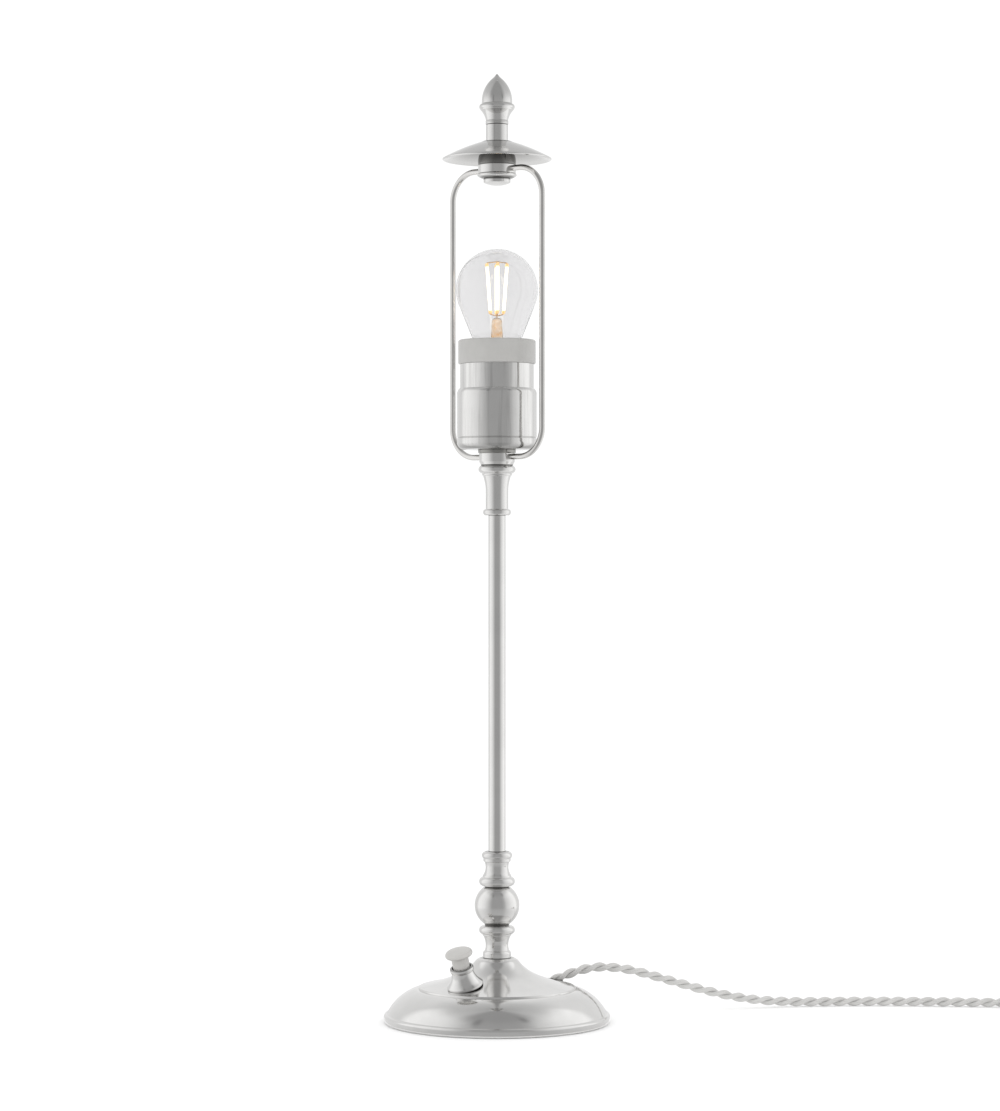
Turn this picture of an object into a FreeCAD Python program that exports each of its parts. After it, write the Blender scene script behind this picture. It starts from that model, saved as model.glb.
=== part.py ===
import FreeCAD, Part
import math
import os

# Table lamp stand: a spun base with a push switch and a cord, turned collars and a ball on one
# through tube, an E27 lampholder inside a harp of bent wire, and a dished shade carrier that a
# finial clamps on top. Millimetres. The origin is the centre of the foot on the table, +Z is up,
# the harp lies in the X-Z plane, the switch stands near -Y and the cord leaves towards +Y.

V = FreeCAD.Vector
UP = V(0, 0, 1)
FULL_TURN = 360

# Fits
RUN_GAP = 0.05          # radial play of a shaft in its hole
MOVE_GAP = 0.3          # space between a piece that moves and its neighbour
SLIP_GAP = 0.2          # space round a piece that only drops into place

# Spun base
FOOT_R = 62.1
FOOT_LIFT = 0.3         # the metal rim stands this far above the table
BAND_TOP = 5.0          # top of the plain band round the foot
BAND_STEP = 1.8         # the dome starts this far inside the band
CREST_R = 45.5
CREST_Z = 18.2
STEP_R = CREST_R - 2.4      # fine step inside the crest, up to the foot of the sweep
STEP_Z = CREST_Z + 0.3
SWEEP_FOOT_R = STEP_R - 0.7
SWEEP_FOOT_Z = CREST_Z + 1.4
NECK_R = 8.6
NECK_TOP = 35.5
SHOULDER_R = 12.2
SHOULDER_DROP = 2.1     # from the neck's top face down to the start of its round shoulder
DOME_BULGE = 1.94
SWEEP_BEND_R = 22.0     # the sweep is flat outside this radius and steep inside it
SWEEP_BEND_Z = NECK_TOP - 9.6
SWEEP_LOW_HOLLOW = 0.63
SWEEP_HIGH_HOLLOW = 0.73
WALL = 1.6
SEAT_Z = NECK_TOP - 11.9    # flat under the neck where the clamp nut bears
SEAT_R = 19.0

# What closes and weighs down the base
PLATE_R = FOOT_R - 2.7
PLATE_T = 1.0
FELT_R = PLATE_R - 0.8
FELT_T = 1.3
WEIGHT_GAP = 1.3        # round the weight, inside the dome
WEIGHT_OUT_R = FOOT_R - BAND_STEP - WALL - WEIGHT_GAP
WEIGHT_IN_R = 34.0
WEIGHT_H = 7.2
PLATE_SCREW_R = 1.5
PLATE_SCREW_HEAD_R = 2.7
PLATE_SCREW_REACH = 5.0
PLATE_SCREW_PCD_R = 44.0
PLATE_SCREWS = 3

# Through tube and the pieces threaded on it
TUBE_R = 4.75
TUBE_BORE_R = 3.75
TUBE_TAIL = 10.0        # below the seat under the neck
TUBE_HEAD = 5.5         # above the lampholder's floor
TUBE_SHOWN = 184.5
WASHER_R = 9.5
WASHER_T = 1.2
NUT_FLATS = 17.0
NUT_H = 4.0

LOWER_COLLAR_H = 18.8
COLLAR_FOOT_R = 7.8
COLLAR_FOOT_H = 2.3
COLLAR_WAIST_R = 6.3
COLLAR_BEAD_R = 9.9
GROOVE_R = 6.7
LOWER_GROOVE_H = 1.3    # dark groove under the ball
UPPER_GROOVE_H = 0.8    # and over it
BALL_R = 12.35
BALL_H = 19.8
UPPER_COLLAR_H = 19.8
UPPER_TOP_BEAD_R = 8.4
TOP_COLLAR_H = 27.5
TOP_COLLAR_R = 6.2
TOP_COLLAR_FOOT_R = 7.7
TOP_COLLAR_BEAD_R = 10.2

# Harp
HUB_R = 9.8
HUB_H = 6.6
HUB_CHAMFER = 1.9
HUB_WASHER_R = 10.4
HUB_WASHER_H = 2.0
WIRE_R = 1.6
WIRE_HALF_SPAN = 32.5
WIRE_BEND_R = 16.0
WIRE_RISE = 157.9
WIRE_SEAT_X = 6.6       # the wire's end stops this far from the axis
WIRE_Z_IN_HUB = HUB_H - WIRE_R - 0.5
UPPER_HUB_R = 10.4
UPPER_HUB_FLANGE_R = UPPER_HUB_R + 0.4
UPPER_HUB_H = 7.4
WIRE_Z_IN_UPPER_HUB = UPPER_HUB_H - WIRE_R - 0.9
CAP_NUT_R = 7.4
CAP_NUT_H = 3.9
STUD_R = 2.5
STUD_FOOT = 1.6         # thickness of the cap nut under the stud

# Shade carrier and finial
BOSS_H = 5.5
BOSS_R = 10.7
BOSS_NECK_R = 8.0
BOSS_NECK_H = 6.2
DISC_R = 30.0
DISC_T = 1.2
DISC_FLAT_R = BOSS_NECK_R + 0.2
DISC_DROP = 9.4         # from the disc's flat top down to its rim
DISC_BULGE = 0.6
SPACER_R = 6.1
SPACER_H = 9.2
FINIAL_R = 8.4
FINIAL_BEAD_R = 9.8
FINIAL_STEM_H = 10.6
FINIAL_H = 27.8
STUD_IN_FINIAL = 6.4

# Lampholder
HOLDER_R = 21.9
HOLDER_FLOOR_R = HOLDER_R - 3.9
HOLDER_WALL = 0.9
HOLDER_FLOOR_T = 1.0
HOLDER_H = 33.5
HOLDER_FOOT_ROUND = 4.5
MANTLE_R = HOLDER_R - 1.6
MANTLE_WALL = 0.8
MANTLE_TOP = 47.0       # above the lampholder's underside
MANTLE_FLANGE_H = 1.8
RING_R = MANTLE_R + 1.0
RING_H = 13.2
RING_LIP_T = 2.4
HOLDER_NUT_FLATS = 14.0
HOLDER_NUT_H = 3.0
INSERT_R = MANTLE_R - MANTLE_WALL - 2.0
INSERT_RECESS_R = INSERT_R - 4.0
INSERT_RECESS_TOP = 13.5
CONTACT_T = 0.5
CONTACT_RISE = 2.3
CONTACT_W = 5.0
TERMINAL_X = 8.0
TERMINAL_HEAD_R = 2.3
TERMINAL_HEAD_H = 2.0
TERMINAL_SHANK_R = 1.25
TERMINAL_SHANK_H = 6.0

# Bulb, its heights above the tip of its contact
BULB_R = 22.5
BULB_CENTRE = 55.6
GLASS_T = 0.7
CAP_R = 13.1
CAP_WALL = 0.35
CAP_TOP = 26.5
CRIMP_H = 2.6
CAP_CRIMP_R = CAP_R + 0.4
BULB_NECK_R = CAP_R + 0.25
BULB_NECK_TOP = CAP_TOP + 1.6       # level with the mouth of the porcelain ring
NECK_FOOT = 16.0
TIP_R = 3.9
TIP_H = 2.9
INSULATOR_R = 8.95
STEM_GLASS_R = 2.8
STEM_GLASS_TOP = 40.4
FILAMENT_R = 0.8
FILAMENT_FOOT = STEM_GLASS_TOP + 2.2
FILAMENT_LENGTH = 27.5
FILAMENT_FOOT_SPREAD = 3.6
FILAMENT_HEAD_SPREAD = 5.6
FILAMENTS = 4
SUPPORT_R = 0.3

# Well of the lampholder, sized round the bulb
RING_HOLE_R = BULB_NECK_R + 0.65
WELL_FLOOR = MANTLE_TOP + RING_H - BULB_NECK_TOP - MOVE_GAP - CONTACT_RISE - CONTACT_T
SLEEVE_FOOT = WELL_FLOOR + 3.5
SLEEVE_IN_R = CAP_R + MOVE_GAP
SLEEVE_WALL = 0.5
SLEEVE_TOP = WELL_FLOOR + CONTACT_T + CONTACT_RISE + CAP_TOP - CRIMP_H - SLIP_GAP
SLEEVE_H = SLEEVE_TOP - SLEEVE_FOOT
WELL_R = SLEEVE_IN_R - 0.9

# Push switch, drawn along its own leaning axis from the foot of the bell
SWITCH_R = 29.5         # distance of the bell from the lamp's axis
SWITCH_Z = CREST_Z + 4.9
SWITCH_TURN = 5.5       # degrees off -Y
SWITCH_LEAN = 18.5      # degrees off upright, square to the sweep
BUTTON_STEM_R = 4.65
BUTTON_TRAVEL = 3.0
BELL_H = 11.3
BELL_FOOT_R = 9.9
BELL_BORE_R = BUTTON_STEM_R + 2 * MOVE_GAP
BELL_WAIST_R = BELL_BORE_R + 0.65
BELL_RIM_R = BELL_WAIST_R + 0.6
BUTTON_CAP_R = BUTTON_STEM_R + 2.85
BUTTON_CAP_FOOT = BELL_H + BUTTON_TRAVEL + 3.0
BUTTON_TOP = BUTTON_CAP_FOOT + 3.7
SWITCH_NECK_R = 4.5
SWITCH_NECK_BORE_R = 2.0
SWITCH_NECK_TOP = 5.2
BUTTON_STEM_FOOT = SWITCH_NECK_TOP + BUTTON_TRAVEL + 2 * MOVE_GAP
PLUNGER_R = SWITCH_NECK_BORE_R - 0.4
SWITCH_WEB = 1.5        # shell left under the bell for the ring nut
SWITCH_NUT_R = 7.0
SWITCH_NUT_H = 1.6
SWITCH_BODY_R = 7.5
SWITCH_BODY_H = 11.0
SWITCH_BODY_WALL = 1.2
SPRING_R = 2.9
SPRING_WIRE_R = 0.35
SPRING_TURNS = 5
PLUNGER_FLANGE_R = SPRING_R + 2 * SPRING_WIRE_R
PLUNGER_FLANGE_H = 1.0
SWITCH_TERMINAL_X = 3.5
SWITCH_TERMINAL_R = 1.6
SWITCH_TERMINAL_H = 1.4
SWITCH_LEAD_DROP = 4.4      # the leads come straight up to the terminals from this far below

# Cord and its way out of the base
CORD_R = 2.7
EXIT_R = CREST_R - 0.6
EXIT_TURN = 3.5         # degrees off +Y
EXIT_LEAN = 12.0        # degrees off upright, along the crest
EXIT_Z = CREST_Z + 0.2
BUSHING_BORE_R = CORD_R + 1.5
BUSHING_R = BUSHING_BORE_R + 0.7
BUSHING_FLANGE_R = BUSHING_R + 0.7
BUSHING_FLANGE_T = 0.7
BUSHING_SEAT = 0.35     # the flange's underside above the hole's middle
BUSHING_WEB = 2.2       # shell left under the hole's middle for the ring nut
BUSHING_NUT_R = BUSHING_R + 1.4
BUSHING_NUT_H = 1.6
BUSHING_FOOT = BUSHING_WEB + BUSHING_NUT_H + 0.3
CORD_START = (-1.64, -1.82, -0.8)       # from the middle of the cord hole
CORD_ARCH = [           # chosen by hand: over a low arch from the hole, then down to the table
    (13.2, 56.5, 25.8),
    (28.2, 74.2, 25.4),
    (44.2, 95.5, 17.5),
    (59.9, 117.2, 9.3),
    (74.8, 136.5, 4.4),
]
CORD_ON_TABLE = [       # along the table towards the coil
    (89.6, 156.1),
    (113.0, 181.0),
    (142.6, 204.8),
    (170.9, 224.1),
    (193.2, 241.1),
]
COIL_X = 241.3
COIL_Y = 237.6
COIL_MEAN_R = 28.0
COIL_COLUMNS = 3
COIL_ROWS = 3
COIL_OUTER_TURN_R = COIL_MEAN_R + (COIL_COLUMNS - 1) * CORD_R
COIL_ENTRY = 147.7      # degrees round the coil where the cord reaches it
TIE_T = 0.6
TIE_W = 6.0
TIE_PLAY = 0.3
TIE_ANGLE = 60.0
TAIL_ANGLE = -19.0      # degrees round the coil where the last turn leaves it
TAIL_DROP = 5.65        # the tail leaves the coil this far above the plug's middle
TAIL_BEND = (-3.5, -11.0)   # from the tail's start, where it meets the table
TAIL_END = (-6.6, -23.4)    # from the tail's start, where it enters the plug
PLUG_W = 35.3
PLUG_T = 13.7
PLUG_NECK_W = 15.0
PLUG_BODY_L = 27.0
PLUG_STRAIGHT_L = 14.0
PLUG_BOOT_L = 20.0
PLUG_BOOT_R = 4.6
PLUG_BOOT_TIP_R = CORD_R + 0.9
PLUG_BOOT_ROOT = 4.0    # boot hidden inside the plug's body
PLUG_EDGE = 2.5
PIN_R = 2.0
PIN_L = 19.0
PIN_PITCH = 19.0

# Wires inside
LEAD_R = 1.1
LEAD_OFFSET = LEAD_R + 0.2
LEAD_Z = 6.5            # height of the wires that run to the connector block
BLOCK_X = 3.0           # each way off the middle to the block's two ways
BLOCK_W = 13.0
BLOCK_D = 10.0
BLOCK_H = 7.4
BLOCK_NEAR_Y = 14.0
BLOCK_SCREW_R = 1.5
BLOCK_SCREW_DEEP = 1.6

# Heights up the stack
Z_PLATE = FELT_T
Z_WEIGHT = Z_PLATE + PLATE_T
Z_BALL = NECK_TOP + LOWER_COLLAR_H
Z_UPPER_COLLAR = Z_BALL + BALL_H
Z_TOP_COLLAR = Z_UPPER_COLLAR + UPPER_COLLAR_H + TUBE_SHOWN
Z_HUB = Z_TOP_COLLAR + TOP_COLLAR_H
Z_HUB_WASHER = Z_HUB + HUB_H
Z_HOLDER = Z_HUB_WASHER + HUB_WASHER_H
Z_RING = Z_HOLDER + MANTLE_TOP
Z_INSERT = Z_HOLDER + HOLDER_FLOOR_T
Z_WELL = Z_HOLDER + WELL_FLOOR
Z_TIP = Z_WELL + CONTACT_T + CONTACT_RISE + MOVE_GAP
Z_WIRE_LOW = Z_HUB + WIRE_Z_IN_HUB
Z_WIRE_HIGH = Z_WIRE_LOW + WIRE_RISE
Z_UPPER_HUB = Z_WIRE_HIGH - WIRE_Z_IN_UPPER_HUB
Z_CAP_NUT = Z_UPPER_HUB - CAP_NUT_H
Z_BOSS = Z_UPPER_HUB + UPPER_HUB_H
Z_DISC_SEAT = Z_BOSS + BOSS_H + BOSS_NECK_H
Z_SPACER = Z_DISC_SEAT + DISC_T
Z_FINIAL = Z_SPACER + SPACER_H
BORE_R = TUBE_R + RUN_GAP


class Outline:
    """Half section in the X-Z plane, drawn edge by edge, then turned about the Z axis."""

    def __init__(self, r, z):
        self.start = V(r, 0, z)
        self.here = self.start
        self.edges = []

    def line(self, r, z):
        there = V(r, 0, z)
        self.edges.append(Part.LineSegment(self.here, there).toShape())
        self.here = there
        return self

    def arc(self, mid_r, mid_z, r, z):
        there = V(r, 0, z)
        self.edges.append(Part.Arc(self.here, V(mid_r, 0, mid_z), there).toShape())
        self.here = there
        return self

    def bow(self, r, z, rise):
        """Arc whose middle stands off the straight line: rise is positive to the right of it."""
        there = V(r, 0, z)
        chord = there - self.here
        side = V(chord.z, 0, -chord.x).normalize()
        middle = (self.here + there) * 0.5 + side * rise
        return self.arc(middle.x, middle.z, r, z)

    def dome(self, z):
        """Arc up to the axis that meets it square, so that the turned cap is smooth on top."""
        height = z - self.here.z
        radius = (self.here.x ** 2 + height ** 2) / (2 * height)
        half = math.asin(self.here.x / radius) / 2
        return self.arc(radius * math.sin(half), z - radius * (1 - math.cos(half)), 0, z)

    def face(self):
        self.line(self.start.x, self.start.z)
        return Part.Face(Part.Wire(self.edges))

    def turn(self):
        return self.face().revolve(V(0, 0, 0), UP, FULL_TURN)


def cylinder(radius, height, foot, axis=UP):
    return Part.makeCylinder(radius, height, foot, axis)


def hex_nut(flats, height, bore_r, z):
    """Plain hexagon nut about the lamp's axis, its faces parallel to X."""
    corner_r = flats / math.sqrt(3)
    corners = []
    for step in range(7):
        angle = math.radians(60 * step)
        corners.append(V(corner_r * math.cos(angle), corner_r * math.sin(angle), z))
    prism = Part.Face(Part.makePolygon(corners)).extrude(V(0, 0, height))
    return prism.cut(cylinder(bore_r, height, V(0, 0, z)))


def rounded_path(points, share=0.45):
    """Straight runs joined by tangent arcs, each as large as its two runs allow."""
    corners = [V(*point) for point in points]
    edges = []
    radii = []
    here = corners[0]
    for before, corner, after in zip(corners, corners[1:], corners[2:]):
        back = (before - corner).normalize()
        ahead = (after - corner).normalize()
        half_turn = (math.pi - back.getAngle(ahead)) / 2
        trim = share * min((before - corner).Length, (after - corner).Length)
        radius = trim / math.tan(half_turn)
        start = corner + back * trim
        end = corner + ahead * trim
        inward = (back + ahead).normalize()
        middle = corner + inward * (radius / math.cos(half_turn) - radius)
        edges.append(Part.LineSegment(here, start).toShape())
        edges.append(Part.Arc(start, middle, end).toShape())
        radii.append(radius)
        here = end
    edges.append(Part.LineSegment(here, corners[-1]).toShape())
    return Part.Wire(edges), radii


def tube_along(points, radius, name=None):
    """Round bar that follows a rounded path; prints its bends where it is a cord."""
    path, radii = rounded_path(points)
    heading = V(*points[1]) - V(*points[0])
    ring = Part.Wire([Part.makeCircle(radius, V(*points[0]), heading)])
    bar = path.makePipeShell([ring], True, False)
    if name:
        expected = math.pi * radius ** 2 * path.Length
        print(name, "length", round(path.Length, 1), "bend radii", [round(r, 1) for r in radii],
              "volume share", round(bar.Volume / expected, 4))
    return bar


# ---------------------------------------------------------------- base

def outward(bearing, distance, height):
    """A point at that distance from the lamp's axis, its bearing in degrees from +X."""
    turn = math.radians(bearing)
    return V(distance * math.cos(turn), distance * math.sin(turn), height)


def leaning(bearing, lean):
    """A unit vector that leans outward from upright."""
    return outward(bearing, math.sin(math.radians(lean)), math.cos(math.radians(lean)))


SWITCH_AXIS = leaning(SWITCH_TURN - 90, SWITCH_LEAN)
SWITCH_FOOT = outward(SWITCH_TURN - 90, SWITCH_R, SWITCH_Z)
EXIT_AXIS = leaning(90 - EXIT_TURN, EXIT_LEAN)
EXIT_POINT = outward(90 - EXIT_TURN, EXIT_R, EXIT_Z)


def on_switch_axis(shape):
    """Places a piece drawn about +Z from the origin on the switch's leaning axis."""
    placed = shape.copy()
    lean = FreeCAD.Placement(SWITCH_FOOT, FreeCAD.Rotation(UP, SWITCH_AXIS))
    placed.Placement = lean.multiply(shape.Placement)
    return placed


def on_exit_axis(shape):
    """Places a piece drawn about +Z from the origin on the cord hole's axis."""
    placed = shape.copy()
    lean = FreeCAD.Placement(EXIT_POINT, FreeCAD.Rotation(UP, EXIT_AXIS))
    placed.Placement = lean.multiply(shape.Placement)
    return placed


def base_shell():
    dome_foot_r = FOOT_R - BAND_STEP
    body = Outline(BORE_R, FOOT_LIFT)
    body.line(FOOT_R - 0.8, FOOT_LIFT)
    body.arc(FOOT_R - 0.2, FOOT_LIFT + 0.4, FOOT_R, FOOT_LIFT + 1.2)
    body.line(FOOT_R, BAND_TOP - 1.5)
    body.arc(FOOT_R - 0.5, BAND_TOP - 0.4, FOOT_R - 1.5, BAND_TOP)
    body.line(dome_foot_r, BAND_TOP + 0.2)
    body.bow(CREST_R, CREST_Z, DOME_BULGE)
    body.bow(STEP_R, STEP_Z, 0.12)
    body.line(STEP_R, STEP_Z + 0.6)
    body.arc(STEP_R - 0.17, STEP_Z + 0.93, SWEEP_FOOT_R, SWEEP_FOOT_Z)
    body.bow(SWEEP_BEND_R, SWEEP_BEND_Z, -SWEEP_LOW_HOLLOW)
    body.bow(SHOULDER_R, NECK_TOP - SHOULDER_DROP, -SWEEP_HIGH_HOLLOW)
    body.bow(NECK_R, NECK_TOP, 0.45)
    body.line(BORE_R, NECK_TOP)
    shell = body.turn()

    ledge_z = Z_PLATE + PLATE_T
    hollow = Outline(0, FOOT_LIFT - 1)
    hollow.line(PLATE_R + SLIP_GAP, FOOT_LIFT - 1)
    hollow.line(PLATE_R + SLIP_GAP, ledge_z)
    hollow.line(dome_foot_r - WALL, ledge_z)
    hollow.line(dome_foot_r - WALL, BAND_TOP - 0.3)
    hollow.bow(CREST_R - 0.8, CREST_Z - WALL, DOME_BULGE)
    hollow.line(SWEEP_FOOT_R - 0.6, SWEEP_FOOT_Z - WALL - 0.1)
    hollow.bow(SEAT_R + 1.5, SEAT_Z, -0.3)
    hollow.line(0, SEAT_Z)
    shell = shell.cut(hollow.turn())

    clear = 9
    spotface = on_switch_axis(cylinder(BELL_FOOT_R + SLIP_GAP, clear, V(0, 0, 0)))
    nut_seat = on_switch_axis(cylinder(SWITCH_NUT_R + 1, clear, V(0, 0, -SWITCH_WEB - clear)))
    neck_hole = on_switch_axis(cylinder(SWITCH_NECK_R + RUN_GAP, 2 * clear, V(0, 0, -clear)))
    ring_seat = on_exit_axis(cylinder(BUSHING_FLANGE_R + SLIP_GAP, clear, V(0, 0, BUSHING_SEAT)))
    cord_hole = on_exit_axis(cylinder(BUSHING_R + RUN_GAP, 2 * clear, V(0, 0, -clear)))
    exit_seat = on_exit_axis(cylinder(BUSHING_NUT_R + SLIP_GAP, clear, V(0, 0, -BUSHING_WEB - clear)))
    for tool in (spotface, nut_seat, neck_hole, ring_seat, cord_hole, exit_seat):
        shell = shell.cut(tool)
    return shell


def plate_screw_tool(extra):
    """A countersunk screw about +Z with its head at the bottom, grown by extra all round."""
    tool = Outline(0, 0)
    tool.line(PLATE_SCREW_HEAD_R + extra, 0)
    tool.line(PLATE_SCREW_R + extra, PLATE_T)
    tool.line(PLATE_SCREW_R + extra, PLATE_T + PLATE_SCREW_REACH + extra)
    tool.line(0, PLATE_T + PLATE_SCREW_REACH + extra)
    return tool.turn()


def at_plate_screws(shape):
    copies = []
    for index in range(PLATE_SCREWS):
        angle = math.radians(30 + FULL_TURN / PLATE_SCREWS * index)
        copy = shape.copy()
        copy.translate(V(PLATE_SCREW_PCD_R * math.cos(angle), PLATE_SCREW_PCD_R * math.sin(angle), Z_PLATE))
        copies.append(copy)
    return copies


def felt_pad():
    return cylinder(FELT_R, FELT_T, V(0, 0, 0))


def bottom_plate():
    plate = cylinder(PLATE_R, PLATE_T, V(0, 0, Z_PLATE))
    for hole in at_plate_screws(plate_screw_tool(RUN_GAP)):
        plate = plate.cut(hole)
    return plate


def base_weight():
    """Cast ring whose outer edge follows the slope of the dome above it."""
    wide_top = Z_WEIGHT + 2.7
    slope = (FOOT_R - BAND_STEP - CREST_R) / (CREST_Z - BAND_TOP)
    ring = Outline(WEIGHT_IN_R, Z_WEIGHT)
    ring.line(WEIGHT_OUT_R, Z_WEIGHT)
    ring.line(WEIGHT_OUT_R, wide_top)
    ring.line(WEIGHT_OUT_R - slope * (WEIGHT_H - 2.7) + 1.85, Z_WEIGHT + WEIGHT_H)
    ring.line(WEIGHT_IN_R + 1, Z_WEIGHT + WEIGHT_H)
    ring.line(WEIGHT_IN_R, Z_WEIGHT + WEIGHT_H - 1)
    weight = ring.turn()
    for hole in at_plate_screws(plate_screw_tool(RUN_GAP)):
        weight = weight.cut(hole)
    return weight


def plate_screws():
    return Part.makeCompound(at_plate_screws(plate_screw_tool(0)))


def base_washer():
    z = SEAT_Z - WASHER_T
    return cylinder(WASHER_R, WASHER_T, V(0, 0, z)).cut(cylinder(BORE_R, WASHER_T, V(0, 0, z)))


def base_nut():
    return hex_nut(NUT_FLATS, NUT_H, BORE_R, SEAT_Z - WASHER_T - NUT_H)


# ---------------------------------------------------------------- stem

def stem_tube():
    foot = SEAT_Z - TUBE_TAIL
    height = Z_INSERT + TUBE_HEAD - foot
    return cylinder(TUBE_R, height, V(0, 0, foot)).cut(cylinder(TUBE_BORE_R, height, V(0, 0, foot)))


def lower_collar():
    z = NECK_TOP
    top = z + LOWER_COLLAR_H
    collar = Outline(BORE_R, z)
    collar.line(COLLAR_FOOT_R, z)
    collar.line(COLLAR_FOOT_R, z + COLLAR_FOOT_H - 0.3)
    collar.bow(COLLAR_FOOT_R - 1.1, z + COLLAR_FOOT_H + 1.7, 0.35)
    collar.arc(COLLAR_WAIST_R, z + 8.0, COLLAR_WAIST_R + 1.4, top - 6.6)
    collar.line(COLLAR_WAIST_R + 1.7, top - 6.4)
    collar.line(COLLAR_WAIST_R + 1.7, top - 5.9)
    collar.arc(COLLAR_BEAD_R, top - 3.5, COLLAR_BEAD_R - 1.7, top - LOWER_GROOVE_H)
    collar.line(GROOVE_R, top - LOWER_GROOVE_H)
    collar.line(GROOVE_R, top)
    collar.line(BORE_R, top)
    return collar.turn()


def baluster_ball():
    half = BALL_H / 2
    end_r = math.sqrt(BALL_R ** 2 - half ** 2)
    ball = Outline(BORE_R, Z_BALL)
    ball.line(end_r, Z_BALL)
    ball.arc(BALL_R, Z_BALL + half, end_r, Z_BALL + BALL_H)
    ball.line(BORE_R, Z_BALL + BALL_H)
    return ball.turn()


def upper_collar():
    z = Z_UPPER_COLLAR
    top = z + UPPER_COLLAR_H
    collar = Outline(BORE_R, z)
    collar.line(GROOVE_R, z)
    collar.line(GROOVE_R, z + UPPER_GROOVE_H)
    collar.line(COLLAR_BEAD_R - 1.8, z + UPPER_GROOVE_H)
    collar.arc(COLLAR_BEAD_R, z + 3.0, COLLAR_BEAD_R - 1.8, z + 5.7)
    collar.line(COLLAR_WAIST_R + 1.7, z + 5.7)
    collar.line(COLLAR_WAIST_R + 1.5, z + 6.6)
    collar.arc(COLLAR_WAIST_R, z + 10.9, COLLAR_WAIST_R + 0.6, top - 5.8)
    collar.line(COLLAR_WAIST_R + 1.2, top - 5.5)
    collar.line(COLLAR_WAIST_R + 1.3, top - 3.9)
    collar.arc(UPPER_TOP_BEAD_R, top - 2.2, UPPER_TOP_BEAD_R - 1.0, top - 0.5)
    collar.line(COLLAR_WAIST_R, top)
    collar.line(BORE_R, top)
    return collar.turn()


def top_collar():
    z = Z_TOP_COLLAR
    top = z + TOP_COLLAR_H
    collar = Outline(BORE_R, z)
    collar.line(TOP_COLLAR_FOOT_R - 0.9, z)
    collar.arc(TOP_COLLAR_FOOT_R, z + 1.65, TOP_COLLAR_FOOT_R - 0.9, z + 3.3)
    collar.line(TOP_COLLAR_R, z + 3.3)
    collar.line(TOP_COLLAR_R, top - 13.5)
    collar.bow(TOP_COLLAR_R + 1.5, top - 5.8, -0.3)
    collar.line(TOP_COLLAR_R + 2.0, top - 5.6)
    collar.line(TOP_COLLAR_R + 2.0, top - 4.8)
    collar.line(TOP_COLLAR_BEAD_R - 1.6, top - 4.4)
    collar.arc(TOP_COLLAR_BEAD_R, top - 1.9, TOP_COLLAR_BEAD_R - 1.4, top - 0.2)
    collar.line(TOP_COLLAR_BEAD_R - 1.4, top)
    collar.line(BORE_R, top)
    return collar.turn()


# ---------------------------------------------------------------- harp

def wire_socket(z, side, outer_r):
    """Blind hole in a hub for one end of a harp wire."""
    return cylinder(WIRE_R + RUN_GAP, outer_r, V(side * (WIRE_SEAT_X - RUN_GAP), 0, z), V(side, 0, 0))


def lower_hub():
    hub = Outline(BORE_R, Z_HUB)
    hub.line(HUB_R - 0.9, Z_HUB)
    hub.line(HUB_R - 0.8, Z_HUB + 0.5)
    hub.line(HUB_R, Z_HUB + HUB_CHAMFER)
    hub.line(HUB_R, Z_HUB + HUB_H)
    hub.line(BORE_R, Z_HUB + HUB_H)
    body = hub.turn()
    for side in (-1, 1):
        body = body.cut(wire_socket(Z_WIRE_LOW, side, HUB_R))
    return body


def hub_washer():
    ring = Outline(BORE_R, Z_HUB_WASHER)
    ring.line(HUB_WASHER_R - 0.3, Z_HUB_WASHER)
    ring.line(HUB_WASHER_R, Z_HUB_WASHER + 0.3)
    ring.line(HUB_WASHER_R, Z_HUB_WASHER + HUB_WASHER_H)
    ring.line(BORE_R, Z_HUB_WASHER + HUB_WASHER_H)
    return ring.turn()


def harp_wire(side):
    """One C-shaped wire of the harp, from the lower hub round to the upper hub."""
    points = [V(side * WIRE_SEAT_X, 0, Z_WIRE_LOW), V(side * (WIRE_HALF_SPAN - WIRE_BEND_R), 0, Z_WIRE_LOW)]
    diagonal = WIRE_BEND_R * (1 - math.sqrt(0.5))
    points.append(V(side * (WIRE_HALF_SPAN - diagonal), 0, Z_WIRE_LOW + diagonal))
    points.append(V(side * WIRE_HALF_SPAN, 0, Z_WIRE_LOW + WIRE_BEND_R))
    mirrored = [V(p.x, 0, Z_WIRE_LOW + Z_WIRE_HIGH - p.z) for p in reversed(points)]
    path = Part.Wire([
        Part.LineSegment(points[0], points[1]).toShape(),
        Part.Arc(points[1], points[2], points[3]).toShape(),
        Part.LineSegment(points[3], mirrored[0]).toShape(),
        Part.Arc(mirrored[0], mirrored[1], mirrored[2]).toShape(),
        Part.LineSegment(mirrored[2], mirrored[3]).toShape(),
    ])
    ring = Part.Wire([Part.makeCircle(WIRE_R, points[0], V(1, 0, 0))])
    return path.makePipeShell([ring], True, False)


def upper_hub():
    z = Z_UPPER_HUB
    bore_r = STUD_R + RUN_GAP
    hub = Outline(bore_r, z)
    hub.line(CAP_NUT_R + 0.8, z)
    hub.line(UPPER_HUB_FLANGE_R - 0.2, z + 1.2)
    hub.arc(UPPER_HUB_FLANGE_R, z + 1.9, UPPER_HUB_R, z + 2.7)
    hub.line(UPPER_HUB_R, z + UPPER_HUB_H)
    hub.line(bore_r, z + UPPER_HUB_H)
    body = hub.turn()
    for side in (-1, 1):
        body = body.cut(wire_socket(Z_WIRE_HIGH, side, UPPER_HUB_R))
    return body


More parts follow.
